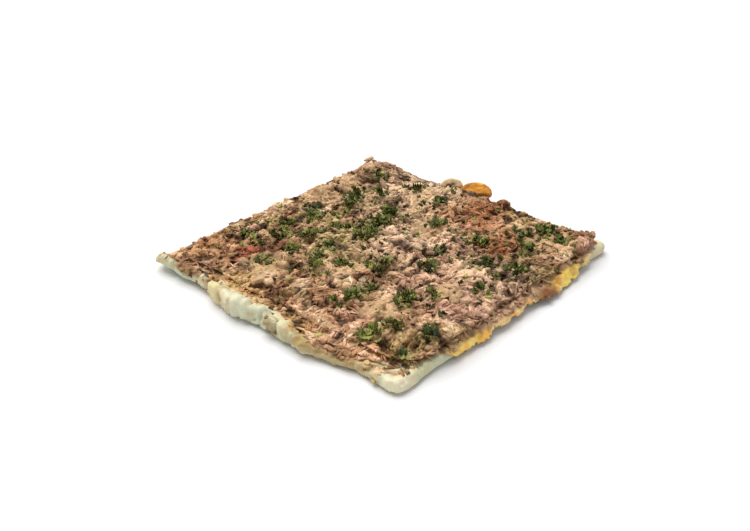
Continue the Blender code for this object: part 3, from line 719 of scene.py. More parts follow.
def seams_between_lumps(points):
    """The folds that cross the dough's front side, from 0 to 1."""
    x, y, z = in_mm(points)
    seams = np.zeros(len(points))
    for place, slant in DOUGH_SEAMS:
        across = x - place - slant * (z - 5) - (cloud(points, 3 * MM, 16) - 0.5) * 3
        seams = np.maximum(seams, hump(across, 0, SEAM_WIDTH) * ramp(-88, -92, y))
    return seams


def dough_relief(points, normals, seams):
    """How far each point of the dough moves from the plain solid."""
    x, y, z = in_mm(points)
    large, small = ramp(0.0, 0.45, veins(points, 11 * MM, 1)), ramp(0.0, 0.4, veins(points, 6 * MM, 2))
    puffs = large * 2.2 + small * 1.2 - 1.8
    grain = (cloud(points, 1.9 * MM, 9) - 0.5) * 1.1 - ramp(0.72, 0.95, cloud(points, 3.2 * MM, 3)) * 1.2
    not_below = ramp(-0.75, -0.3, normals[:, 2])
    puffed = 0.5 + 0.5 * ramp(-82, -90, y) * ramp(88, 74, x)
    puffed *= 0.5 + 0.5 * ramp(-56, -48, x)
    layered = stretch(*LAYERED_X, x) * ramp(-86, -92, y)
    ragged = cloud(points * (1, 1, 2.2), 2.8 * MM, 19) - 0.6
    outwards = (puffs + grain) * not_below * puffed + layered * ragged * 1.8 - seams * SEAM_DEPTH
    moves = normals * (outwards * MM)[:, None]
    for place, reach, out, up in DOUGH_LUMPS:
        share = hump(x, place, reach) * ramp(2.5, 6, z) * ramp(-86, -93, y)
        moves[:, 1] -= share * out * MM
        moves[:, 2] += share * up * MM
    brim = ramp(-88, -91, y) * ramp(0.2, 0.7, normals[:, 2]) * ramp(28, 20, x)
    moves[:, 2] += brim * 1.5 * MM
    return moves


def dough_colours(points, seams):
    """Pale dough, toasted on top and beside the beef, with its browned, green and ragged places, and
    painted shade in its seams.
    """
    x, y, z = in_mm(points)
    front, behind = ramp(-60, -80, y), ramp(-80, -60, y)
    height = z + (cloud(points, 5 * MM, 10) - 0.5) * 5
    base = mix(DOUGH_PALE, DOUGH_CREAM, ramp(0.35, 0.7, cloud(points, 14 * MM, 4)))
    base = mix(base, CHEESE_GREEN, ramp(0.55, 0.8, cloud(points, 9 * MM, 5)) * 0.45)
    top = ramp(6.6, 9.2, z + (cloud(points, 4 * MM, 6) - 0.5) * 4)
    base = mix(base, DOUGH_GOLD, top * 0.7 * behind)
    base = mix(base, DOUGH_BROWN, ramp(0.66, 0.85, cloud(points, 4 * MM, 7)) * top * 0.7 * behind)
    _, edge = bare_rim(points)
    toast = ramp(0.25, 0.6, cloud(points, 4 * MM, 94)) * ramp(5, 8, z)
    base = mix(base, DOUGH_GOLD, edge * toast * 0.9)
    skin = ramp(1.3, 0.2, z) * ramp(0.2, 0.6, cloud(points, 5 * MM, 8))
    base = mix(base, DOUGH_BROWN, skin * 0.55)
    for place, reach, colour, share in DOUGH_FIELDS:
        base = mix(base, colour, hump(x, place, reach, 4) * front * ramp(0.0, 3.5, height) * share)
    base = mix(base, DOUGH_CRUSTED, stretch(*CRUSTED_X, x) * front * ramp(4.5, 7.5, height) * 0.8)
    base = mix(base, CHEESE_STAIN, near(points, *STAINED_LUMP) * ramp(4, 7, z) * 0.6)
    speckle = ramp(0.62, 0.8, cloud(points, 2.6 * MM, 18)) * front * ramp(2, 6, height)
    base = mix(base, DOUGH_GOLD, speckle * 0.5)
    base = mix(base, DOUGH_CORNER, near(points, *DOUGH_CORNER_SPOT))
    under = verge(points) * ramp(-84, -87, y) * ramp(5, 7, height)
    base = mix(base, verge_colour(points), under * 0.9)
    # Painted shade: darker in the seams between the lumps.
    return base * (1 - 0.25 * seams)[:, None]


def dough():
    """The base, with its puffed, lumpy rim along the front."""
    obj = remeshed("dough", ["crust"], DOUGH_VOXEL)
    points, normals = read(obj.data), read(obj.data, "normal")
    seams = seams_between_lumps(points)
    push(obj, dough_relief(points, normals, seams))
    points = read(obj.data)
    points[:, 2] = np.maximum(points[:, 2], 0.0)
    obj.data.vertices.foreach_set("co", points.ravel())
    paint(obj, dough_colours(points, seams))
    dress(obj, food_material("baked_dough"))
    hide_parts("crust")
    return obj


# ---- Cheese ---------------------------------------------------------------------------------


def cheese_relief(points, normals, corner):
    """How far each point of the cheese moves: its lip is lumpier, and its rim is puffed."""
    x, y, z = in_mm(points)
    uneven = (cloud(points, 5 * MM, 11) - 0.5) * 0.7 + (cloud(points, 2 * MM, 12) - 0.5) * 0.5
    uneven *= 1 + 1.6 * ramp(88, 92, x) * ramp(-70, -60, y)
    moves = normals * (uneven * MM)[:, None]
    bare, _ = bare_rim(points)
    puff = bare * (1 - corner) * ramp(7, 8, z) * (cloud(points, 6 * MM, 17) - 0.25)
    moves[:, 2] += (puff * 2.2 - corner * 1.3) * MM
    return moves


def cheese_colours(points, normals):
    """Yellow, orange and browned cheese along the lip, and cream elsewhere."""
    x, y, _ = in_mm(points)
    lip = ramp(86, 91, x)
    base = mix(CHEESE_CREAM, CHEESE_ORANGE, ramp(0.35, 0.75, cloud(points, 9 * MM, 13)) * 0.55)
    for low, high, colour, share in LIP_FIELDS:
        base = mix(base, colour, stretch(low - 4, low + 2, high - 2, high + 4, y) * lip * share)
    base = mix(base, CHEESE_ORANGE, ramp(0.5, 0.8, cloud(points, 5 * MM, 14)) * lip * 0.7)
    crest = ramp(0.3, 0.9, normals[:, 2]) * ramp(88, 93, x) * ramp(0.45, 0.7, cloud(points, 3.5 * MM, 15))
    base = mix(base, CHEESE_BROWN, crest * 0.6)
    base = mix(base, CHEESE_BROWN, np.minimum(near(points, *BROWNED_CURL) * 1.6, 1))
    return rim_colours(points, base)


def melted_cheese():
    """The layer of cheese, with its ragged lip over the right side."""
    obj = remeshed("melted_cheese", ["cheese"], CHEESE_VOXEL)
    points, normals = read(obj.data), read(obj.data, "normal")
    corner = near(points, *CHEESE_CORNER_SPOT)
    push(obj, cheese_relief(points, normals, corner))
    points = read(obj.data)
    base = mix(cheese_colours(points, normals), CHEESE_CORNER, ramp(0.2, 0.6, corner))
    paint(obj, mix(base, verge_colour(points), verge(points) * 0.9))
    dress(obj, food_material("melted_cheese"))
    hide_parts("cheese")
    return obj


# ---- The bed of beef ------------------------------------------------------------------------


def bundles(points, size, layer):
    """The bundles of fibres that meet side by side: how far in from its edge each point lies, the
    fibres' relief there, and a random number for each bundle."""
    bends = np.c_[cloud(points, 4 * MM, layer), cloud(points, 4 * MM, layer + 1)] - 0.5
    flat = points[:, :2] + bends * 2.4 * MM
    home = np.floor(flat / size).astype(np.int64)
    nearest = np.full(len(flat), 9.0)
    second = np.full(len(flat), 9.0)
    bundle = np.zeros(len(flat))
    offset = np.zeros((len(flat), 2))
    for step in itertools.product((-1, 0, 1), repeat=2):
        cell = np.c_[home + step, np.full(len(flat), layer)]
        centre = (cell[:, :2] + np.c_[scatter(cell, 1), scatter(cell, 2)]) * size
        away = np.hypot(*(flat - centre).T) / size
        closer = away < nearest
        second = np.where(closer, nearest, np.minimum(second, away))
        nearest = np.where(closer, away, nearest)
        bundle = np.where(closer, scatter(cell, 3), bundle)
        offset = np.where(closer[:, None], flat - centre, offset)
    angle = bundle * 977.0
    along = offset[:, 0] * np.cos(angle) + offset[:, 1] * np.sin(angle)
    across = offset[:, 1] * np.cos(angle) - offset[:, 0] * np.sin(angle)
    fibres = cloud(np.c_[along / FIBRE_LENGTH, across / FIBRE_WIDTH, bundle * 50], 1.0, layer)
    return second - nearest, fibres, bundle


def meat_bed():
    """The heap of beef: lumps, bundles of fibres, crevices, small holes and patches of glaze."""
    obj = remeshed("meat_bed", ["beef"], MEAT_VOXEL)
    points, normals = read(obj.data), read(obj.data, "normal")
    glaze = glazed(points)
    rise = np.zeros(len(points))
    tone = np.full(len(points), 0.53)
    for layer, (size, height) in enumerate(PATCHES, 3):
        inward, fibres, bundle = bundles(points, size, layer)
        edge = ramp(0.2, 0.0, inward)
        rise += (bundle - 0.6) * height + (fibres - 0.5) * FIBRE_RISE - edge * height
        # Painted shade: darker along the edges where bundles meet, where the bed is sunk.
        tone += 0.45 * (fibres - 0.5) + 0.3 * (bundle - 0.5) - 0.4 * edge
    rise = rise * (1 - 0.5 * glaze) + glaze * GLAZE_RISE * (0.4 + 0.6 * cloud(points, 4 * MM, 21))
    rise += (lumps(points) - 0.45) * LUMP_RISE - creases(points) * CREASE_DEPTH
    rise -= pits(points) * PIT_DEPTH
    bare, _ = bare_rim(points)
    rise = rise * (1 - 0.7 * bare) + bare * (cloud(points, 6 * MM, 17) - 0.25) * 2.0 * MM
    push(obj, normals * (rise * ramp(-0.5, 0.3, normals[:, 2]))[:, None])
    base = meat_colour(points, np.clip(tone, 0, 1))
    base = mix(base, GLAZE, glaze * (0.35 + 0.5 * cloud(points, 2.5 * MM, 22)))
    paint(obj, rim_colours(points, base))
    dress(obj, food_material("beef_bed"))
    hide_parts("beef")
    return obj


# ---- The ground that loose pieces are strewn on -----------------------------------------------


def ground_of(objects):
    """Dough, cheese, bed and the mushroom slice that beef partly covers, as one mesh."""
    corners, faces, kinds, start = [], [], [], 0
    for kind, obj in enumerate(objects):
        points = read(obj.data)
        loops = np.zeros(len(obj.data.loops), np.int64)
        obj.data.loops.foreach_get("vertex_index", loops)
        quads = loops.reshape(-1, 4)
        if kind == SLICES:
            depth = points[quads[:, 0], 1] / MM
            quads = quads[(depth > COVERED_SLICE_Y[0]) & (depth < COVERED_SLICE_Y[1])]
        corners.append(points)
        faces.append(quads + start)
        kinds.append(np.full(len(points), kind))
        start += len(points)
    ground = from_arrays("ground", np.concatenate(corners), np.concatenate(faces).tolist())
    weigh_ground(ground, np.concatenate(kinds))
    return ground


def weigh_ground(ground, kind):
    """How thickly each sort of loose piece lies on the ground, as one attribute for each sort."""
    points, normals = read(ground.data), read(ground.data, "normal")
    x, y, _ = in_mm(points)
    flat = in_plan(points)
    limit, glaze = hem(points), glazed(points)
    bare, edge = bare_rim(points)
    up = ramp(0.0, 0.5, normals[:, 2])
    beef = up * (kind == BED) * (1 - bare) * (1 - 0.8 * pits(points))
    on_dough = ramp(-86, -89, y) * ramp(84, 76, x)
    around = up * verge(points) * ((kind == CHEESE) + (kind == DOUGH) * on_dough)
    on_slice = up * (kind == SLICES)
    heaped = ramp(0.35, 0.65, cloud(flat, 9 * MM, 24))
    loose = 0.5 + 0.5 * ramp(0.4, 0.7, cloud(flat, 12 * MM, 25))
    inside = around * 1.5 * ramp(limit - 0.5, limit - 3.5, x)
    off_lip = 1 - 0.85 * ramp(limit - 4.5, limit - 1.5, x)
    strands = beef * (1 - 0.5 * glaze) * loose + around * 0.7
    toasted = up * edge * ramp(-97, -94, y) * ramp(90, 80, x) * ramp(-54, -46, x)
    weigh(ground, "shreds", beef * (1 - 0.7 * glaze) * (0.45 + 0.55 * heaped) + inside + on_slice * 0.12)
    weigh(ground, "chunks", beef * (1 - 0.8 * glaze) * heaped * 0.5 + around)
    weigh(ground, "strands", strands * off_lip + on_slice * 0.2)
    weigh(ground, "crumbs", beef * (1 - 0.7 * glaze) * 0.8 + around)
    toasted = toasted * np.where((kind == DOUGH) & (y > -89), 0, 1)
    weigh(ground, "strip", up * near(points, *GOLDEN_CRUMBS) * 0.8 + toasted)
    herbs = 0.3 * ramp(0.5, 0.8, cloud(flat, 9 * MM, 23)) + 0.015
    for place_x, place_y, _, _ in CLUMPS:
        herbs = np.maximum(herbs, near(points, place_x, place_y, 8) * 0.9)
    band = hump(y - 0.4 * x, 10, 42)
    weigh(ground, "herbs", beef * herbs * (0.45 + 0.85 * band))


# ---- Geometry Nodes: strands laid over the ground, and pieces strewn on it ---------------------


def new_tree(name, sizes):
    """A tree with a geometry in and out, and a named input for each size."""
    tree = bpy.data.node_groups.new(name, "GeometryNodeTree")
    tree.interface.new_socket("Geometry", in_out="INPUT", socket_type="NodeSocketGeometry")
    for label in sizes:
        tree.interface.new_socket(label, in_out="INPUT", socket_type="NodeSocketFloat")
    tree.interface.new_socket("Geometry", in_out="OUTPUT", socket_type="NodeSocketGeometry")
    return tree, tree.nodes.new("NodeGroupInput").outputs


def maths(tree, operation, first, second=0.0):
    """One number worked out from two."""
    return add_node(tree, "ShaderNodeMath", {0: first, 1: second}, operation=operation).outputs[0]


def vector(tree, x, y, z):
    """Three numbers as a vector."""
    return add_node(tree, "ShaderNodeCombineXYZ", {"X": x, "Y": y, "Z": z}).outputs["Vector"]


def random_value(tree, low, high, layer):
    """A number for each point. Each layer is a draw of its own."""
    return add_node(
        tree, "FunctionNodeRandomValue", {"Min": low, "Max": high, "Seed": layer}, data_type="FLOAT"
    ).outputs["Value"]


def named(tree, name):
    """A number that keep() stored earlier."""
    return add_node(
        tree, "GeometryNodeInputNamedAttribute", {"Name": name}, data_type="FLOAT"
    ).outputs["Attribute"]


def keep(tree, geometry, name, value):
    """Stores a number for each point, under a name."""
    return add_node(
        tree, "GeometryNodeStoreNamedAttribute",
        {"Geometry": geometry, "Name": name, "Value": value}, data_type="FLOAT", domain="POINT",
    ).outputs["Geometry"]


def moved(tree, geometry, **how):
    """The geometry with each point at its new Position, or moved by its Offset."""
    return add_node(tree, "GeometryNodeSetPosition", {"Geometry": geometry, **how}).outputs["Geometry"]


def strewn_points(tree, given, cover, seed):
    """Points on the ground, as dense as Density times the attribute named cover."""
    density = maths(tree, "MULTIPLY", given["Density"], named(tree, cover))
    points = add_node(
        tree, "GeometryNodeDistributePointsOnFaces",
        {"Mesh": given["Geometry"], "Density": density, "Seed": seed},
    ).outputs["Points"]
    return keep(tree, points, "tone", random_value(tree, 0.0, 1.0, seed + 1))


def finish_tree(tree, geometry, material):
    """Gives the geometry its material and brings it out as plain mesh."""
    dressed = add_node(tree, "GeometryNodeSetMaterial", {"Geometry": geometry, "Material": material})
    real = add_node(tree, "GeometryNodeRealizeInstances", {"Geometry": dressed.outputs["Geometry"]})
    tree.links.new(real.outputs["Geometry"], tree.nodes.new("NodeGroupOutput").inputs["Geometry"])


def straight_lines(tree, given, where, points_along, cover, seed):
    """A line on each of the ground's points. Lines that are near each other head much the same way."""
    points = strewn_points(tree, given, cover, seed)
    points = keep(tree, points, "arch", random_value(tree, 0.0, 1.0, seed + 2))
    points = keep(tree, points, "stout", random_value(tree, 0.35, 0.65, seed + 5))
    line = add_node(
        tree, "GeometryNodeCurvePrimitiveLine", {"Start": (-0.5, 0, 0), "End": (0.5, 0, 0)}
    ).outputs["Curve"]
    line = add_node(
        tree, "GeometryNodeResampleCurve", {"Curve": line, "Count": points_along}
    ).outputs["Curve"]
    flow = add_node(tree, "ShaderNodeTexNoise", {"Vector": where, "Scale": 1 / FLOW_SIZE, "Detail": 1.0})
    heading = maths(tree, "MULTIPLY", flow.outputs["Fac"], FLOW_TURN)
    heading = maths(tree, "ADD", heading, random_value(tree, -0.9, 0.9, seed + 3))
    length = maths(tree, "MULTIPLY", given["Length"], random_value(tree, 0.6, 1.4, seed + 4))
    laid = add_node(
        tree, "GeometryNodeInstanceOnPoints",
        {
            "Points": points, "Instance": line,
            "Rotation": vector(tree, 0.0, 0.0, heading), "Scale": vector(tree, length, 1.0, 1.0),
        },
    ).outputs["Instances"]
    return add_node(tree, "GeometryNodeRealizeInstances", {"Geometry": laid}).outputs["Geometry"]


def bent(tree, lines, where, curl):
    """The lines, each bent its own way."""
    own = maths(tree, "MULTIPLY", named(tree, "tone"), 40.0)
    bend = add_node(
        tree, "ShaderNodeTexNoise", {"Vector": where, "W": own, "Scale": 1 / BEND_SIZE, "Detail": 2.0},
        noise_dimensions="4D",
    ).outputs["Color"]
    bend = add_node(tree, "ShaderNodeVectorMath", {0: bend, 1: (0.5, 0.5, 0.5)}, operation="SUBTRACT")
    bend = add_node(
        tree, "ShaderNodeVectorMath", {0: bend.outputs["Vector"], "Scale": curl}, operation="SCALE"
    ).outputs["Vector"]
    return moved(tree, lines, Offset=bend)


def draped(tree, lines, where, ground, arch):
    """The lines dropped on the ground from above, raised by arch, less what misses the ground."""
    place = add_node(tree, "ShaderNodeSeparateXYZ", {"Vector": where}).outputs
    ray = add_node(
        tree, "GeometryNodeRaycast",
        {
            "Target Geometry": ground, "Source Position": vector(tree, place["X"], place["Y"], 100 * MM),
            "Ray Direction": (0, 0, -1), "Ray Length": 200 * MM,
        },
    ).outputs
    height = add_node(tree, "ShaderNodeSeparateXYZ", {"Vector": ray["Hit Position"]}).outputs["Z"]
    lines = keep(tree, lines, "ground", height)
    lines = keep(tree, lines, "missed", maths(tree, "SUBTRACT", 1.0, ray["Is Hit"]))
    missed = maths(tree, "GREATER_THAN", named(tree, "missed"), 0.5)
    lines = add_node(
        tree, "GeometryNodeDeleteGeometry", {"Geometry": lines, "Selection": missed}, domain="POINT"
    ).outputs["Geometry"]
    even = add_node(
        tree, "GeometryNodeBlurAttribute", {"Value": named(tree, "ground"), "Iterations": 3},
        data_type="FLOAT",
    ).outputs["Value"]
    level = vector(tree, place["X"], place["Y"], maths(tree, "ADD", even, arch))
    return moved(tree, lines, Position=level)


def ribbed(tree, lines, given, middle, ribs):
    """Solid strands along the lines, with a ribbed, flattened section that tapers at both ends."""
    fullness = maths(tree, "POWER", maths(tree, "MAXIMUM", middle, 0.0), 0.45)
    fullness = maths(tree, "ADD", maths(tree, "MULTIPLY", fullness, 0.8), 0.2)
    width = maths(tree, "MULTIPLY", given["Width"], named(tree, "stout"))
    star = add_node(
        tree, "GeometryNodeCurveStar", {"Points": ribs, "Inner Radius": 0.88, "Outer Radius": 1.0}
    ).outputs["Curve"]
    flat = vector(tree, 1.0, given["Flatness"], 1.0)
    section = add_node(
        tree, "GeometryNodeTransform", {"Geometry": star, "Scale": flat}
    ).outputs["Geometry"]
    upright = add_node(tree, "GeometryNodeSetCurveNormal", {"Curve": lines}).outputs["Curve"]
    return add_node(
        tree, "GeometryNodeCurveToMesh",
        {
            "Curve": upright, "Profile Curve": section,
            "Scale": maths(tree, "MULTIPLY", width, fullness), "Fill Caps": True,
        },
    ).outputs["Mesh"]


def strand_tree(name, ribs, points_along, cover, seed, material):
    """Curves laid over the ground: each is bent, dropped on it, tapered and given a ribbed section."""
    tree, given = new_tree(name, ("Density", "Length", "Width", "Flatness", "Curl", "Lift"))
    where = tree.nodes.new("GeometryNodeInputPosition").outputs["Position"]
    along = tree.nodes.new("GeometryNodeSplineParameter").outputs["Factor"]
    middle = maths(tree, "SINE", maths(tree, "MULTIPLY", along, math.pi))
    lines = straight_lines(tree, given, where, points_along, cover, seed)
    lines = bent(tree, lines, where, given["Curl"])
    arch = maths(tree, "MULTIPLY", maths(tree, "MULTIPLY", middle, named(tree, "arch")), given["Lift"])
    lines = draped(tree, lines, where, given["Geometry"], arch)
    finish_tree(tree, ribbed(tree, lines, given, middle, ribs), material)
    return tree


def strewn_tree(name, kinds, cover, seed, material):
    """Copies of small pieces strewn on the ground, turned and tilted at random."""
    tree, given = new_tree(name, ("Density", "Smallest", "Largest", "Tilt", "Lift"))
    points = strewn_points(tree, given, cover, seed)
    lift = maths(tree, "MULTIPLY", given["Lift"], random_value(tree, 0.2, 1.0, seed + 2))
    points = moved(tree, points, Offset=vector(tree, 0.0, 0.0, lift))
    pieces = tree.nodes.new("GeometryNodeGeometryToInstance")
    for kind in kinds:
        source = add_node(tree, "GeometryNodeObjectInfo", {"Object": kind}).outputs["Geometry"]
        tree.links.new(source, pieces.inputs["Geometry"])
    back = maths(tree, "MULTIPLY", given["Tilt"], -1.0)
    turn = vector(
        tree,
        random_value(tree, back, given["Tilt"], seed + 3),
        random_value(tree, back, given["Tilt"], seed + 4),
        random_value(tree, 0.0, math.tau, seed + 5),
    )
    laid = add_node(
        tree, "GeometryNodeInstanceOnPoints",
        {
            "Points": points, "Instance": pieces.outputs["Instances"], "Pick Instance": True,
            "Rotation": turn, "Scale": random_value(tree, given["Smallest"], given["Largest"], seed + 6),
        },
    ).outputs["Instances"]
    finish_tree(tree, laid, material)
    return tree


def grown(name, ground, tree, sizes):
    """The mesh that a tree makes from the ground, with its sizes given by name."""
    obj = new_object(name + "_source", ground.data.copy())
    modifier = obj.modifiers.new(name, "NODES")
    modifier.node_group = tree
    for item in tree.interface.items_tree:
        if item.in_out == "INPUT" and item.name in sizes:
            modifier[item.identifier] = sizes[item.name]
    obj = settled(obj, name)
    obj.data.shade_smooth()
    return obj


def strewn(name, ground, kinds, cover, seed, material, sizes):
    """Small pieces strewn on the ground as one mesh. The pieces themselves are then removed."""
    tree = strewn_tree(name.replace("_", " ").capitalize(), kinds, cover, seed, material)
    obj = grown(name, ground, tree, sizes)
    for kind in kinds:
        bpy.data.objects.remove(kind)
    return obj


# ---- Loose beef -----------------------------------------------------------------------------


def piece(name, fineness):
    """A ball of radius 1, to be pushed into shape."""
    bm = bmesh.new()
    bmesh.ops.create_icosphere(bm, subdivisions=fineness, radius=1.0)
    return from_bmesh(name, bm)


def chunk(number):
    """A flat torn piece of beef about 3 long and 2 wide, with its fibres running along it."""
    obj = piece(f"chunk_{number}", 3)
    points = read(obj.data)
    seen = points + number * 7
    swell = 0.5 + 0.75 * cloud(seen, 0.9, 50 + number) + 0.35 * (cloud(seen, 0.4, 55 + number) - 0.5)
    fibres = (cloud(seen * (0.7, 4.5, 2.0), 1.0, 60 + number) - 0.5) * 0.35
    push(obj, points * ((swell + fibres)[:, None] * (1.7, 1.05, 0.5) - 1))
    return obj


def crumb(number):
    """An uneven lump about 2 wide."""
    obj = piece(f"crumb_{number}", 2)
    points = read(obj.data)
    swell = 0.55 + 0.9 * cloud(points + number * 5, 0.9, 40 + number)
    push(obj, points * (swell[:, None] * (1, 0.8, 0.62) - 1))
    return obj


def loose_beef(ground):
    """Ribbed shreds, torn chunks, thin strands and crumbs of beef over the bed."""
    material = food_material("beef_shreds")
    crumbs = [crumb(number) for number in range(4)]
    chunks = [chunk(number) for number in range(5)]
    shreds = strand_tree("Beef shreds", 4, 6, "shreds", SEED, material)
    strands = strand_tree("Beef strands", 3, 7, "strands", SEED + 20, material)
    made = [
        grown("beef_shreds", ground, shreds, SHRED_SIZES),
        strewn("beef_chunks", ground, chunks, "chunks", SEED + 50, material, CHUNK_SIZES),
        grown("beef_strands", ground, strands, STRAND_SIZES),
        strewn("beef_crumbs", ground, crumbs, "crumbs", SEED + 40, material, CRUMB_SIZES),
    ]
    for obj in made:
        points = read(obj.data)
        lit = 0.10 + 0.3 * tones(obj) + 0.75 * cloud(points, 5 * MM, 32)
        lit += 0.35 * (cloud(points, 1.6 * MM, 31) - 0.5)
        colour = meat_colour(points, np.clip(lit, 0, 1))
        paint(obj, mix(colour, GLAZE, glazed(points) * 0.7))
    return made


# ---- Parsley --------------------------------------------------------------------------------


def leaflet_arrays(draw, width, frill, around=13, out=3, thick=0.3 * MM):
    """A fan-shaped frilly leaflet with its stalk at the origin, as two faces of one thin solid."""
    spread = draw.uniform(1.7, 2.5)
    lobes = [draw.uniform(0.72, 1.0) if i % 2 else draw.uniform(0.86, 1.18) for i in range(around)]
    phase, twist = draw.uniform(0, 6), draw.uniform(2.2, 3.4)
    top = []
    for ring in range(out + 1):
        share = 0.12 + 0.88 * ring / out
        for i in range(around):
            angle = spread * (i / (around - 1) - 0.5)
            reach = width * share * (1 + (lobes[i] - 1) * share)
            wave = math.sin(phase + twist * i) * frill * share * share
            top.append((reach * math.cos(angle), reach * math.sin(angle), wave + 0.3 * width * share))
    count = len(top)
    corners = np.array(top + [(x, y, z - thick) for x, y, z in top])
    faces = []
    for ring in range(out):
        for i in range(around - 1):
            a = ring * around + i
            b, c, d = a + 1, a + around + 1, a + around
            faces += [(a, d, c), (a, c, b)]
            a, b, c, d = a + count, b + count, c + count, d + count
            faces += [(a, c, d), (a, b, c)]
    edge = list(range(around))
    edge += [ring * around + around - 1 for ring in range(1, out + 1)]
    edge += [out * around + i for i in range(around - 2, -1, -1)]
    edge += [ring * around for ring in range(out - 1, 0, -1)]
    for a, b in zip(edge, edge[1:] + edge[:1]):
        faces += [(a, b, b + count), (a, b + count, a + count)]
    return corners, faces


def curly_clump(draw, surface, x, y, width, rise, shade):
    """Small frilly leaflets heaped unevenly, each turned and tilted its own way, laid on the beef, the
    higher ones with painted light.
    """
    leaflets = []
    count = round((width / (2.6 * MM)) ** 2) + 2
    heading, narrow = draw.uniform(0, math.pi), draw.uniform(0.45, 0.9)
    for _ in range(count):
        size = draw.uniform(0.4, 1.4) * LEAFLET_SIZE
        corners, faces = leaflet_arrays(draw, size, size * draw.uniform(0.2, 0.45), around=9)
        away = width / 2 * math.sqrt(draw.uniform(0, 1))
        angle = draw.uniform(0, math.tau)
        along, across = away * math.cos(angle), away * math.sin(angle) * narrow
        leaf_x = x + along * math.cos(heading) - across * math.sin(heading)
        leaf_y = y + along * math.sin(heading) + across * math.cos(heading)
        heap = rise * (1 - away / width * 2) * draw.uniform(0.1, 0.6)
        start = Vector((leaf_x, leaf_y, height_at(surface, leaf_x, leaf_y) + 0.7 * MM + heap))
        matrix = (
            Matrix.Translation(start)
            @ Matrix.Rotation(draw.uniform(0, math.tau), 4, "Z")
            @ Matrix.Rotation(draw.uniform(-0.7, 0.4), 4, "Y")
            @ Matrix.Rotation(draw.uniform(-0.5, 0.5), 4, "X")
        )
        # Painted light: leaflets higher in the heap are made lighter.
        tone = 0.15 + shade + draw.uniform(-0.55, 0.55) + 0.3 * heap / rise
        leaflets.append((np.array([matrix @ Vector(c) for c in corners]), faces, tone))
    return leaflets


def join_leaflets(name, leaflets, material):
    """Leaflets as one painted mesh."""
    corners, faces, shades, start = [], [], [], 0
    for points, leaf_faces, shade in leaflets:
        corners.append(points)
        faces += [tuple(i + start for i in face) for face in leaf_faces]
        shades.append(np.full(len(points), shade))
        start += len(points)
    obj = from_arrays(name, np.concatenate(corners), faces)
    turn_outwards(obj.data)
    paint(obj, leaf_colour(read(obj.data), np.concatenate(shades)))
    dress(obj, material)
    return obj


def leaf_colour(points, shade):
    """Green from dark (0) to light (1), browner and bluer here and there."""
    base = mix(LEAF_DARK, LEAF_MID, ramp(0.0, 0.55, shade))
    base = mix(base, LEAF_LIGHT, ramp(0.6, 1.15, shade))
    base = mix(base, LEAF_BROWN, ramp(0.55, 0.75, cloud(points, 6 * MM, 52)) * 0.45)
    return mix(base, LEAF_BLUE, ramp(0.7, 0.9, cloud(points, 9 * MM, 51)) * 0.5)


def curly_parsley(surface, material):
    """The large sprigs in place of the solid ones, and the smaller clumps."""
    draw = random.Random(SEED)
    leaflets = []
    names = sorted(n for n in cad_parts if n.startswith("parsley_"))
    for name, shade in zip(names, SPRIG_SHADES):
        low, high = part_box(name)
        centre, size = (low + high) / 2, high - low
        leaflets += curly_clump(draw, surface, centre.x, centre.y, min(size.x, size.y), size.z, shade)
    sprigs = join_leaflets("parsley_sprigs", leaflets, material)
    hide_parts(*names)
    leaflets = []
    for x, y, width, shade in CLUMPS:
        leaflets += curly_clump(draw, surface, x * MM, y * MM, width * MM, CLUMP_RISE, shade)
    return [sprigs, join_leaflets("parsley_clumps", leaflets, material)]


def flake(number):
    """A chopped flake of leaf, about 1 wide, creased and notched."""
    draw = random.Random(60 + number)
    corners, faces = leaflet_arrays(draw, 1.0, 0.3, around=7, out=2, thick=0.12)
    corners[:, 0] -= 0.5
    corners[:, 1] *= draw.uniform(0.5, 0.9)
    obj = from_arrays(f"flake_{number}", corners, faces)
    turn_outwards(obj.data)
    return obj


def parsley_flakes(ground, material):
    """Chopped leaf over the whole bed, most of it round the clumps."""
    kinds = [flake(number) for number in range(4)]
    obj = strewn("parsley_flakes", ground, kinds, "herbs", SEED + 60, material, FLAKE_SIZES)
    paint(obj, leaf_colour(read(obj.data), 0.02 + tones(obj)))
    return obj


# ---- Mushrooms, pepper and toasted crumbs ---------------------------------------------------


def slice_colours(points, name):
    """One mushroom slice's flesh, with its gills, its browned cap and its edge on the beef."""
    low, high = (np.array(corner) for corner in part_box(name))
    centre, half = (low + high) / 2, (high - low) / 2
    place = points - centre
    across = np.hypot(*place[:, :2].T) / half[:2].max()
    out = np.hypot(across, place[:, 2] / half[2])
    gills, flesh, cap, gills_at_left = MUSHROOM_LOOKS[name]
    if gills_at_left:
        gilled = ramp(-0.2, -0.6, place[:, 0] / half[0])
    else:
        gilled = ramp(0.75, 0.45, out + 0.35 * (cloud(points, 2 * MM, 73) - 0.5))
    base = mix(flesh, gills, gilled)
    base = mix(base, cap, ramp(0.75, 1.05, out) * ramp(0.2, 0.5, cloud(points, 3 * MM, 72)))
    base = mix(base, np.array(cap) * 0.9, ramp(0.45, 0.8, cloud(points, 2.6 * MM, 74)) * 0.6)
    base = mix(base, MEAT_BROWN, ramp(0.1, -0.5, place[:, 2] / half[2]) * 0.8)
    return base, np.all(np.abs(place) < half + 1.5 * MM, axis=1)


def mushroom_slices():
    """Fine copies of the solid slices."""
    names = sorted(MUSHROOM_LOOKS)
    obj = remeshed("mushroom_slices", names, MUSHROOM_VOXEL)
    points, normals = read(obj.data), read(obj.data, "normal")
    push(obj, normals * ((cloud(points, 1.6 * MM, 71) - 0.5) * 0.6 * MM + 0.4 * MM)[:, None])
    base = np.zeros((len(points), 3))
    for name in names:
        own, inside = slice_colours(points, name)
        base = np.where(inside[:, None], own, base)
    paint(obj, base)
    dress(obj, food_material("mushroom"))
    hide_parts(*names)
    return obj


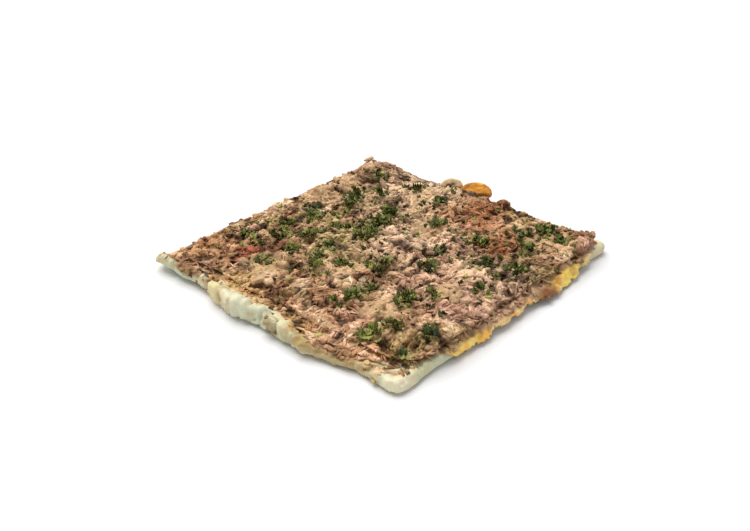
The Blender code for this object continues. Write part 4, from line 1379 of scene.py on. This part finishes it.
def pepper_dice(surface):
    """Small soft-edged dice, each turned its own way."""
    draw = random.Random(SEED + 3)
    bm = bmesh.new()
    for x, y, width in DICE:
        x, y, width = x * MM, y * MM, width * MM
        matrix = (
            Matrix.Translation((x, y, height_at(surface, x, y) + 0.3 * MM))
            @ Matrix.Rotation(draw.uniform(0, 6), 4, "Z")
            @ Matrix.Rotation(draw.uniform(-0.4, 0.4), 4, "X")
            @ Matrix.Diagonal((width * 0.8, width * draw.uniform(0.4, 0.65), width * 0.3, 1))
        )
        bmesh.ops.create_cube(bm, size=1.0, matrix=matrix)
    obj = from_bmesh("pepper_dice_source", bm)
    bevel = obj.modifiers.new("Soft edges", "BEVEL")
    bevel.width = 0.5 * MM
    bevel.segments = 2
    fine = obj.modifiers.new("Fine", "SUBSURF")
    fine.levels = fine.render_levels = 1
    obj = settled(obj, "pepper_dice")
    points, normals = read(obj.data), read(obj.data, "normal")
    push(obj, normals * ((cloud(points, 1.8 * MM, 81) - 0.5) * 0.7 * MM)[:, None])
    paint(obj, mix(PEPPER_GREEN, PEPPER_YELLOW, ramp(0.3, 0.8, cloud(points, 7 * MM, 82))))
    dress(obj, food_material("pepper"))
    return obj


def toasted_crumbs(ground):
    """Toasted bits of cheese and dough along the beef's edge at the front."""
    kinds = [crumb(number) for number in range(10, 14)]
    material = food_material("toasted_crumbs")
    obj = strewn("toasted_crumbs", ground, kinds, "strip", SEED + 80, material, TOASTED_SIZES)
    points, tone = read(obj.data), tones(obj)
    _, y, _ = in_mm(points)
    base = mix(DOUGH_GOLD, DOUGH_CREAM, ramp(0.55, 1.0, tone))
    base = mix(base, DOUGH_BROWN, ramp(0.4, 0.0, tone) * 0.8)
    base = mix(base, CHEESE_GREEN, ramp(0.5, 0.75, cloud(points, 9 * MM, 92)) * 0.5)
    paint(obj, mix(base, MEAT_MID, ramp(-90, -84, y) * 0.6))
    return obj


# ---- Stage ----------------------------------------------------------------------------------


def stage():
    """A plain white floor, soft light from the back left, and the camera."""
    far = FLOOR_REACH
    floor = from_arrays(
        "floor", [(-far, -far, 0), (far, -far, 0), (far, far, 0), (-far, far, 0)], [(0, 1, 2, 3)]
    )
    white = bpy.data.materials.new("white_floor")
    white.use_nodes = True
    shader = white.node_tree.nodes["Principled BSDF"]
    shader.inputs["Base Color"].default_value = FLOOR_WHITE
    shader.inputs["Roughness"].default_value = 0.9
    floor.data.materials.append(white)
    world = bpy.data.worlds.new("studio")
    world.use_nodes = True
    background = world.node_tree.nodes["Background"].inputs
    background["Color"].default_value = (1, 1, 1, 1)
    background["Strength"].default_value = SKY_STRENGTH
    bpy.context.scene.world = world
    sun = bpy.data.lights.new("soft_key", "SUN")
    sun.energy = SUN_STRENGTH
    sun.angle = SUN_SPREAD
    lamp = new_object("soft_key", sun)
    lamp.rotation_euler = (-Vector(SUN_FROM)).to_track_quat("-Z", "Y").to_euler()
    camera = bpy.data.cameras.new("camera")
    camera.sensor_width = SENSOR_WIDTH
    camera.lens = LENS
    holder = new_object("camera", camera)
    holder.location = CAMERA_PLACE
    holder.rotation_euler = CAMERA_TURN
    bpy.context.scene.camera = holder
    bpy.context.scene.view_settings.view_transform = "Standard"


# ---- The slice ------------------------------------------------------------------------------


def main():
    """Makes every piece, lets them ride on the slice's one body, and lights them."""
    base, cheese, bed, slices = dough(), melted_cheese(), meat_bed(), mushroom_slices()
    surface = surface_of((base, cheese, bed))
    ground = ground_of((base, cheese, bed, slices))
    leaf = food_material("parsley_leaf")
    shown = [base, cheese, bed, slices, pepper_dice(surface), toasted_crumbs(ground)]
    shown += loose_beef(ground)
    shown += curly_parsley(surface, leaf)
    shown.append(parsley_flakes(ground, leaf))
    bpy.data.objects.remove(ground)
    for obj in shown:
        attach(obj, "root")
    stage()


main()
